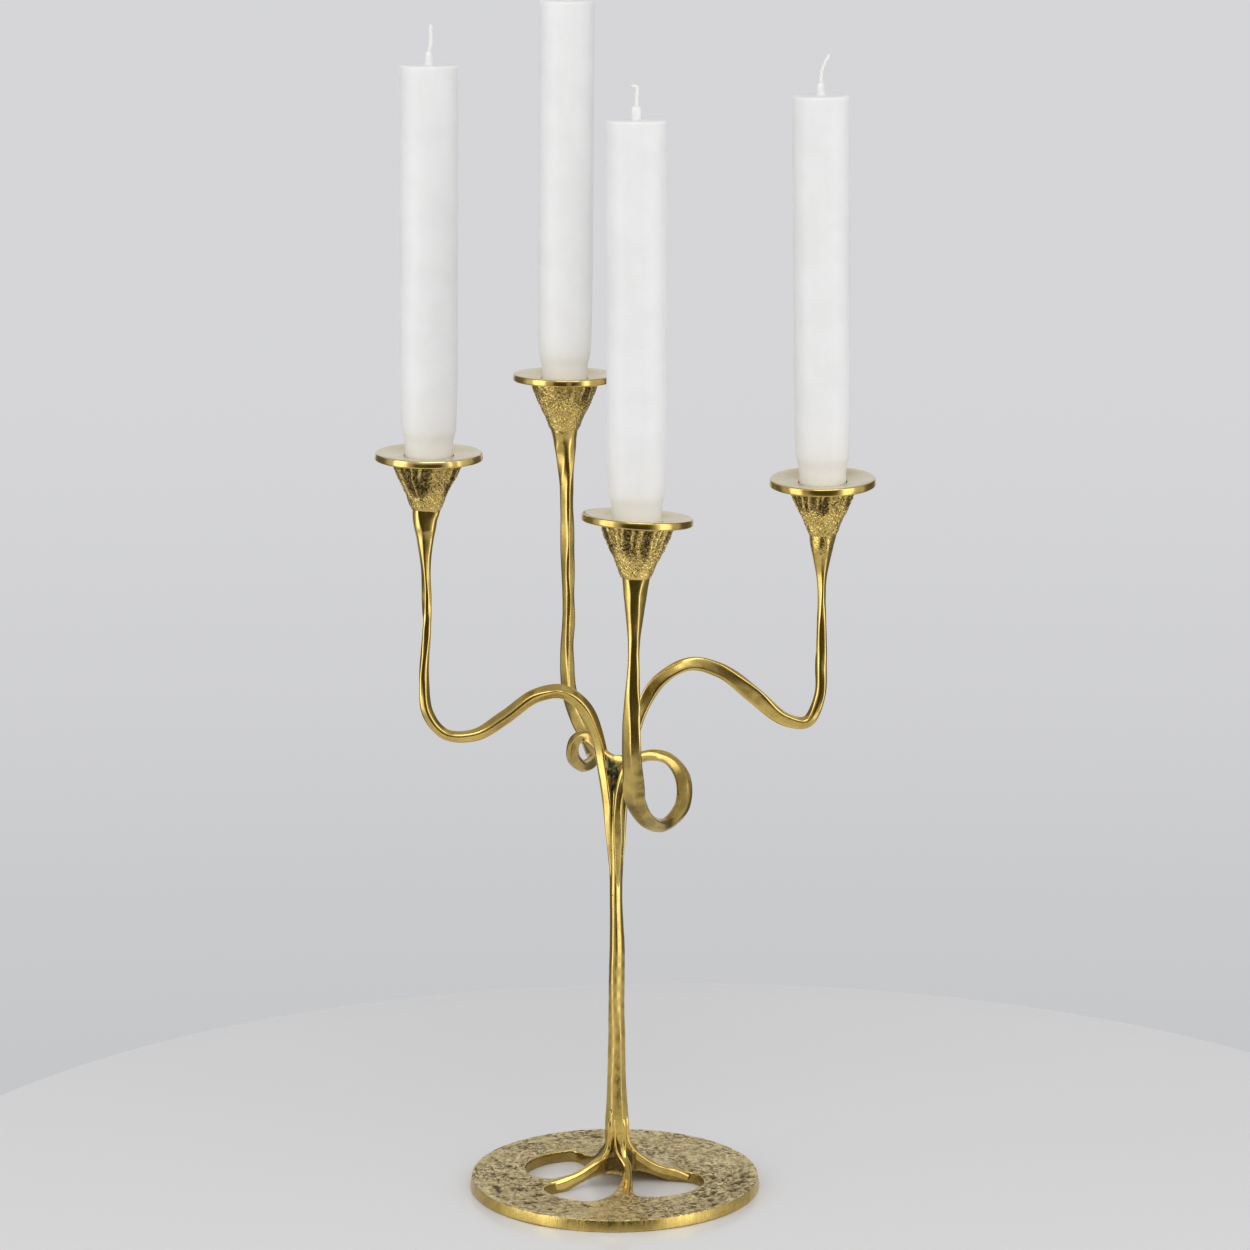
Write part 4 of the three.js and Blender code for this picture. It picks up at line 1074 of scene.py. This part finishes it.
def tarnishGroup():
    # Cloudy tarnish: a broad noise and a fine one decide between bright and dull metal; ridges stay bright
    nodes, given, wanted = newGroup("tarnish", {
        "Vector": ("Vector", None), "Broad Scale": ("Float", 40.0), "Fine Scale": ("Float", 260.0),
        "Amount": ("Float", 0.4), "Bright": ("Color", (0.8, 0.6, 0.22, 1)),
        "Dull": ("Color", (0.45, 0.33, 0.13, 1)), "Ridge": ("Float", 0.0)},
        {"Color": "Color", "Mask": "Float"})
    nodes.place = given["Vector"]
    broad, fine = nodes.noise(given["Broad Scale"], 3.0, 0.6), nodes.noise(given["Fine Scale"], 5.0, 0.65)
    cloud = nodes.remap(nodes.plus(nodes.times(broad, 0.7), nodes.times(fine, 0.3)), 0.36, 0.64)
    kept = nodes.less(1.0, given["Ridge"], clamp=True)
    mask = nodes.maths("MULTIPLY", nodes.times(cloud, given["Amount"]), kept, clamp=True)
    nodes.join(nodes.mix(mask, given["Bright"], given["Dull"]), wanted["Color"])
    nodes.join(mask, wanted["Mask"])
    return nodes.tree


def pittingGroup():
    # Small dark casting pits: a dot near each cell's centre, for the cells whose chance passes the rarity
    nodes, given, wanted = newGroup("pitting", {
        "Vector": ("Vector", None), "Scale": ("Float", 400.0), "Size": ("Float", 0.2),
        "Rarity": ("Float", 0.6)}, {"Mask": "Float"})
    cells = nodes.add("ShaderNodeTexVoronoi",
                      {"Vector": given["Vector"], "Scale": given["Scale"], "Randomness": 1.0})
    dot = nodes.remap(nodes.maths("DIVIDE", cells.outputs["Distance"], given["Size"]), 1.0, 0.5)
    chance = nodes.add("ShaderNodeSeparateColor", {"Color": cells.outputs["Color"]}).outputs["Red"]
    nodes.join(nodes.times(dot, nodes.maths("GREATER_THAN", chance, given["Rarity"])), wanted["Mask"])
    return nodes.tree


groups = {"tarnish": tarnishGroup(), "pitting": pittingGroup()}

# Tarnish of each kind of surface: broad and fine scale, amount, bright and dull metal
metals = {"bar": (48.0, 380.0, 0.7, (0.77, 0.56, 0.165, 1), (0.42, 0.295, 0.085, 1)),
          "cup": (110.0, 900.0, 0.6, (0.9, 0.67, 0.22, 1), (0.46, 0.32, 0.1, 1)),
          # The pan's face is paler than brass: painted reflection of the white wax and wall
          "pan": (60.0, 500.0, 0.4, (0.86, 0.77, 0.52, 1), (0.68, 0.56, 0.32, 1)),
          "panRim": (90.0, 600.0, 0.7, (0.76, 0.555, 0.16, 1), (0.44, 0.3, 0.085, 1)),
          "baseSide": (60.0, 420.0, 0.7, (0.77, 0.56, 0.165, 1), (0.42, 0.295, 0.085, 1)),
          "baseTop": (110.0, 900.0, 0.85, (0.99, 0.81, 0.4, 1), (0.72, 0.55, 0.23, 1))}

# Dirt in pits and hollows, painted shade in the cups' hollows, on the openings' walls and in the wick's
# furrows, patina (with a painted dark reflection on the front arm) and verdigris, rubbed lips with a painted
# highlight, painted glint flecks, wax and cotton
tints = {"pitDirt": (0.03, 0.018, 0.007, 1), "patina": (0.14, 0.098, 0.04, 1),
         "verdigris": (0.007, 0.018, 0.007, 1),
         "castDirtAndShade": (0.055, 0.034, 0.013, 1), "glintFleck": (1.0, 0.9, 0.6, 1),
         "plateDirt": (0.1, 0.068, 0.028, 1),
         "wallShade": (0.2, 0.135, 0.04, 1), "crust": (0.045, 0.027, 0.01, 1),
         "crustWorn": (0.22, 0.145, 0.05, 1),
         "rubbedLipHighlight": (0.86, 0.66, 0.24, 1), "wax": (0.86, 0.86, 0.855, 1),
         "waxCloud": (0.83, 0.83, 0.825, 1),
         "waxFoot": (0.87, 0.835, 0.77, 1), "waxSpeck": (0.62, 0.57, 0.5, 1), "cotton": (0.9, 0.9, 0.86, 1),
         "cottonFurrowShade": (0.82, 0.82, 0.77, 1)}


def tarnished(nodes, metal, **feeds):
    labels = ("Broad Scale", "Fine Scale", "Amount", "Bright", "Dull")
    return nodes.group("tarnish", {**dict(zip(labels, metals[metal])), **feeds})


def newMaterial(name, **sockets):
    # A material with the shader's constants set, the calls for its tree, and its shader
    material = bpy.data.materials.new(name)
    material.use_nodes = True
    nodes = Nodes(material.node_tree)
    shader = nodes.tree.nodes["Principled BSDF"]
    for key, value in sockets.items():
        shader.inputs[key].default_value = value
    nodes.place = nodes.add("ShaderNodeTexCoord").outputs["Object"]
    return material, nodes, shader


def paint(nodes, shader, height, strength, distance, **feeds):
    # What varies over the surface feeds the shader's sockets, and a height its normal
    for label, feed in feeds.items():
        nodes.join(feed, shader.inputs[label])
    bump = nodes.add("ShaderNodeBump", {"Height": height, "Strength": strength, "Distance": distance})
    nodes.join(bump.outputs["Normal"], shader.inputs["Normal"])


def polishedBrass():
    material, nodes, shader = newMaterial("polished_brass_worked", Metallic=1.0)
    tarnish = tarnished(nodes, "bar", Ridge=nodes.field("ridge"))
    pits = nodes.group("pitting", {"Scale": 300.0, "Size": 0.13, "Rarity": 0.9})["Mask"]
    # Specks of dark skin lie where the cup's casting runs down the bar
    cast = nodes.field("cast")
    specks = nodes.times(nodes.remap(nodes.noise(1150.0, 4.0, 0.75), 0.5, 0.57), cast, 0.7)
    recess = nodes.most(nodes.most(pits, nodes.field("recess")), specks)
    # Verdigris grows in crumbs, and brown patina in clouds where the arms are seldom touched; the same
    # colour paints a dark reflection on one facet of the front arm
    crumbs = nodes.remap(nodes.noise(380.0, 5.0), 0.3, 0.5)
    green = nodes.times(nodes.remap(nodes.field("verdigris"), 0.25, 0.7), crumbs)
    patina = nodes.field("patina")
    cloudy = nodes.times(patina, nodes.remap(nodes.noise(150.0, 5.0, 0.65), 0.3, 0.62, 0.45, 1.0))
    old = nodes.most(cloudy, nodes.less(patina, 0.35), clamp=True)
    colour = nodes.mix(recess, tarnish["Color"], tints["pitDirt"])
    colour = nodes.mix(green, nodes.mix(old, colour, tints["patina"]), tints["verdigris"])
    rough = nodes.maths("MULTIPLY_ADD", tarnish["Mask"], 0.16, 0.15)
    rough = nodes.plus(rough, nodes.times(nodes.most(old, recess), 0.2))
    rough = nodes.plus(rough, nodes.times(green, 0.4), clamp=True)
    grain = nodes.times(nodes.noise(1400.0, 4.0, 0.7), cast, 3.0)
    skin = nodes.plus(nodes.times(nodes.noise(260.0, 2.0), 0.1), grain)
    height = nodes.less(skin, nodes.times(recess, 1.2))
    paint(nodes, shader, height, 0.3, 0.0001, **{
        "Base Color": colour, "Metallic": nodes.less(1.0, nodes.times(green, 0.9)), "Roughness": rough})
    return material


def castBrass():
    material, nodes, shader = newMaterial("cast_brass_rough", Metallic=1.0)
    recess = nodes.field("recess")
    # The dark in the hollows, partly oxide skin and partly painted shade, is worn through in places, and
    # specks of it lie in the grain
    worn = nodes.remap(nodes.noise(900.0, 5.0, 0.7), 0.36, 0.56, 0.5, 1.0)
    deep = nodes.times(nodes.remap(recess, 0.12, 0.8), worn)
    specks = nodes.remap(nodes.noise(1150.0, 4.0, 0.75), 0.52, 0.57, 0.0, 0.75)
    deep = nodes.most(deep, nodes.times(specks, nodes.remap(recess, 0.05, 0.3, 0.2, 1.0)))
    colour = nodes.mix(deep, tarnished(nodes, "cup")["Color"], tints["castDirtAndShade"])
    paint(nodes, shader, nodes.noise(1400.0, 4.0, 0.7), 0.55, 0.0002, **{
        "Base Color": colour, "Roughness": nodes.maths("MULTIPLY_ADD", recess, 0.32, 0.2)})
    return material


def panBrass():
    # The upper face is polished and coloured pale, a painted reflection of the white wax and wall over the
    # brass, and the rim is the gold of the bars
    material, nodes, shader = newMaterial("pan_brass_polished", Metallic=1.0)
    faceWithPaintedReflection, edge = tarnished(nodes, "pan"), tarnished(nodes, "panRim")
    paint(nodes, shader, nodes.noise(420.0, 3.0), 0.15, 0.00008, **{
        "Base Color": nodes.mix(nodes.field("rim"), faceWithPaintedReflection["Color"], edge["Color"]),
        "Roughness": nodes.maths("MULTIPLY_ADD", faceWithPaintedReflection["Mask"], 0.2, 0.15)})
    return material


def weatheredBrass():
    material, nodes, shader = newMaterial("weathered_brass_hammered", Metallic=1.0)
    plate, lip, web = nodes.field("plate"), nodes.field("lip"), nodes.field("web")
    swirl = nodes.field("swirl", "Vector")
    # Drag lines follow the turning, broken by cloudy patches; blotches of tarnish lie between them
    squat = nodes.stretched(swirl, (1.0, 1.0, 0.36))
    patches = nodes.remap(nodes.noise(45.0, 3.0, 0.6), 0.38, 0.6, 0.3, 1.0)
    drag = nodes.times(nodes.remap(nodes.noise(1.4, 7.0, 0.72, squat), 0.5, 0.56), patches, 0.95)
    blotch = nodes.times(nodes.remap(nodes.noise(430.0, 8.0, 0.78), 0.545, 0.59), 0.75)
    marks = nodes.most(nodes.most(drag, blotch), nodes.field("recess"), clamp=True)
    # Bright flecks on the top along the turning: painted glints
    glintFlecks = nodes.remap(nodes.noise(2.4, 6.0, 0.75, squat), 0.52, 0.56, 0.0, 0.8)
    top = nodes.mix(glintFlecks, tarnished(nodes, "baseTop")["Color"], tints["glintFleck"])
    top = nodes.mix(nodes.times(marks, 0.95), top, tints["plateDirt"])
    # The openings' walls are painted darker: painted shade
    sides = nodes.mix(nodes.times(nodes.field("wall"), 0.6), tarnished(nodes, "baseSide")["Color"],
                      tints["wallShade"])
    crust = nodes.mix(nodes.noise(520.0, 4.0, 0.7), tints["crust"], tints["crustWorn"])
    colour = nodes.mix(web, nodes.mix(plate, sides, top), crust)
    # Lips are brightened: partly rubbed wear, partly a painted highlight
    colour = nodes.mix(nodes.times(lip, 0.75), colour, tints["rubbedLipHighlight"])
    coarse = nodes.most(plate, web)
    rough = nodes.plus(nodes.maths("MULTIPLY_ADD", coarse, 0.24, 0.17), nodes.times(marks, 0.18), clamp=True)
    # Brush marks stand upright on the rim: close together round the disc, long in height
    brush = nodes.noise(1.6, 4.0, 0.7, nodes.stretched(swirl, (5.0, 5.0, 0.0)))
    brush = nodes.times(nodes.less(1.0, plate), brush, 0.5)
    relief = nodes.plus(brush, nodes.times(nodes.noise(800.0, 5.0, 0.7), coarse))
    relief = nodes.less(relief, nodes.times(marks, plate, 0.8))
    paint(nodes, shader, relief, 0.65, 0.00028, **{"Base Color": colour, "Roughness": rough})
    return material


def whiteWax():
    material, nodes, shader = newMaterial("white_wax_smooth", **{
        "Roughness": 0.4, "Specular IOR Level": 0.4, "Subsurface Weight": 0.3,
        "Subsurface Radius": (0.004, 0.0036, 0.0032), "Subsurface Scale": 1.0})
    cloud = nodes.remap(nodes.noise(60.0), 0.35, 0.65)
    colour = nodes.mix(cloud, tints["wax"], tints["waxCloud"])
    colour = nodes.mix(nodes.times(nodes.field("foot"), 0.6), colour, tints["waxFoot"])
    specks = nodes.group("pitting", {"Scale": 170.0, "Size": 0.07, "Rarity": 0.84})["Mask"]
    colour = nodes.mix(nodes.times(specks, 0.3), colour, tints["waxSpeck"])
    paint(nodes, shader, nodes.noise(240.0, 3.0), 0.12, 0.0002, **{"Base Color": colour})
    return material


def cottonWeave():
    material, nodes, shader = newMaterial("cotton_wick_waxed",
                                          **{"Roughness": 0.6, "Specular IOR Level": 0.3})
    # The furrows between the strands are darker: painted shade
    colour = nodes.mix(nodes.field("strand"), tints["cottonFurrowShade"], tints["cotton"])
    paint(nodes, shader, nodes.noise(4000.0, 3.0), 0.4, 0.0001, **{"Base Color": colour})
    return material


finishes = {"polished": polishedBrass(), "cast": castBrass(), "pan": panBrass(),
            "weathered": weatheredBrass(),
            "wax": whiteWax(), "cotton": cottonWeave()}
print("materials made:", len(finishes))


def settle(piece, finish, body, slotName, *nodes):
    # A finished piece gets its material and its body, and the nodes that it stands for are hidden; its slot
    # name is not used
    piece.data.materials.append(finishes[finish])
    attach(piece, body)
    if nodes:
        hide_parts(*nodes)


settle(baseDisc(), "weathered", "stand", "weathered_brass", "base")
print("base made")
settle(stemBar(), "polished", "stand", "polished_brass", "stem")
settle(forkSaddle(), "polished", "stand", "polished_brass")
for name in rootShape["paths"]:
    settle(rootRib(name), "polished", "stand", "polished_brass")
for name in heads:
    settle(armBar(name), "polished", "stand", "polished_brass", "arm_" + name)
print("stem and arms made")
for name in heads:
    settle(cupBody(name), "cast", "stand", "cast_brass", "cup_" + name)
    settle(panDish(name), "pan", "stand", "polished_brass", "drip_pan_" + name)
    settle(waxCandle(name), "wax", "candle_" + name, "white_wax", "candle_" + name)
    settle(cottonWick(name), "cotton", "candle_" + name, "cotton_wick", "wick_" + name)
print("heads made:", len(heads))


# Table, light and camera, in metres

tableShape = {"radius": 0.385, "centre": (0.0292, -0.048), "edge": 0.012, "thickness": 0.03, "hole": 0.002,
              "around": 256}


def tableTop():
    # A round table top: a flat disc whose edge is a half circle in section
    s = tableShape
    turn = np.linspace(0, np.pi, 24)
    inner = s["radius"] - s["edge"]
    flat = np.linspace(s["hole"], inner, 12)[:-1]
    edge = np.stack([inner + s["edge"] * np.sin(turn), -s["thickness"] / 2 * (1 - np.cos(turn))], 1)
    profile = np.concatenate([np.stack([flat, 0 * flat], 1), edge, [(s["hole"], -s["thickness"])]])
    rings = roundAxis(profile[:, :1], profile[:, 1:], fullTurn(s["around"])) + (*s["centre"], 0)
    return tubeFromRings("table_top", rings * 1000 + middle)


table = tableTop()
paleTable, _, _ = newMaterial("table_white", **{
    "Base Color": (0.788, 0.788, 0.79, 1), "Roughness": 0.2, "Specular IOR Level": 0.35})
table.data.materials.append(paleTable)

# The world's colours: a wall that darkens a little near the table's level, and a plainer light for all that
# isn't seen. Reflections also find a duller ceiling, a dark stand on either side behind the object, and the
# dim room behind the viewer.
studio = {"wall": (0.67, 0.67, 0.69, 1), "wallFoot": (0.55, 0.555, 0.57, 1), "light": (0.52, 0.52, 0.525, 1),
          "ceiling": (0.45, 0.45, 0.44, 1), "stands": (0.16, 0.155, 0.14, 1),
          "room": (0.055, 0.046, 0.016, 1)}

world = bpy.data.worlds.new("studio")
bpy.context.scene.world = world
world.use_nodes = True
nodes = Nodes(world.node_tree)
rays = nodes.add("ShaderNodeLightPath").outputs
glossy = rays["Is Glossy Ray"]
seen = nodes.most(rays["Is Camera Ray"], nodes.most(glossy, rays["Is Transmission Ray"]))
heading = nodes.add("ShaderNodeTexCoord").outputs["Generated"]
x, y, z = nodes.add("ShaderNodeSeparateXYZ", {"Vector": heading}).outputs
wall = nodes.mix(nodes.remap(z, -0.34, -0.12), studio["wallFoot"], studio["wall"])
ceiling = nodes.times(nodes.remap(z, 0.3, 0.65), glossy)
stands = nodes.times(nodes.remap(nodes.maths("ABSOLUTE", x), 0.42, 0.58), nodes.remap(y, 0.08, 0.26),
                     nodes.remap(z, 0.6, 0.4), glossy)
dimRoom = nodes.times(nodes.remap(nodes.times(y, -1.0), 0.72, 0.9), nodes.remap(z, 0.36, 0.12), glossy)
colour = nodes.mix(ceiling, wall, studio["ceiling"])
colour = nodes.mix(stands, colour, studio["stands"])
colour = nodes.mix(dimRoom, colour, studio["room"])
backdrop = nodes.tree.nodes["Background"]
nodes.join(nodes.mix(seen, studio["light"], colour), backdrop.inputs["Color"])
backdrop.inputs["Strength"].default_value = 1.0

# Each lamp's azimuth in degrees from the viewer's side, distance, height, width and length, and power
lamps = {"left_softbox": (-62, 1.5, 0.45, 0.85, 2.1, 8.4),
         "right_softbox": (57, 1.5, 0.45, 0.7, 2.1, 6.8),
         "top_softbox": (10, 1.4, 1.9, 1.7, 1.3, 14.0)}
lampTarget = (0, 0, 0.22)


def softBox(name):
    # A soft lamp aimed at the middle of the object
    azimuth, distance, height, width, length, power = lamps[name]
    lamp = bpy.data.lights.new(name, "AREA")
    lamp.shape, lamp.size, lamp.size_y, lamp.energy = "RECTANGLE", width, length, power
    piece = bpy.data.objects.new(name, lamp)
    bpy.context.scene.collection.objects.link(piece)
    turn = math.radians(azimuth)
    spot = np.array([math.sin(turn) * distance, -math.cos(turn) * distance, height])
    away = spot - lampTarget
    piece.location = spot
    tilt = math.atan2(math.hypot(away[0], away[1]), away[2])
    piece.rotation_euler = (tilt, 0, math.atan2(away[0], -away[1]))
    piece.visible_camera = False


for name in lamps:
    softBox(name)

cameraShape = {"lens": 119.26, "sensor": 36.0, "place": (-0.0012, -1.78415, 0.6033), "tilt": 78.98}
camera = bpy.data.objects.new("camera", bpy.data.cameras.new("camera"))
camera.data.lens, camera.data.sensor_width = cameraShape["lens"], cameraShape["sensor"]
camera.location = cameraShape["place"]
camera.rotation_euler = (math.radians(cameraShape["tilt"]), 0, 0)
bpy.context.scene.collection.objects.link(camera)
bpy.context.scene.camera = camera
bpy.context.scene.view_settings.view_transform = "Standard"
print("stage, light and camera made")
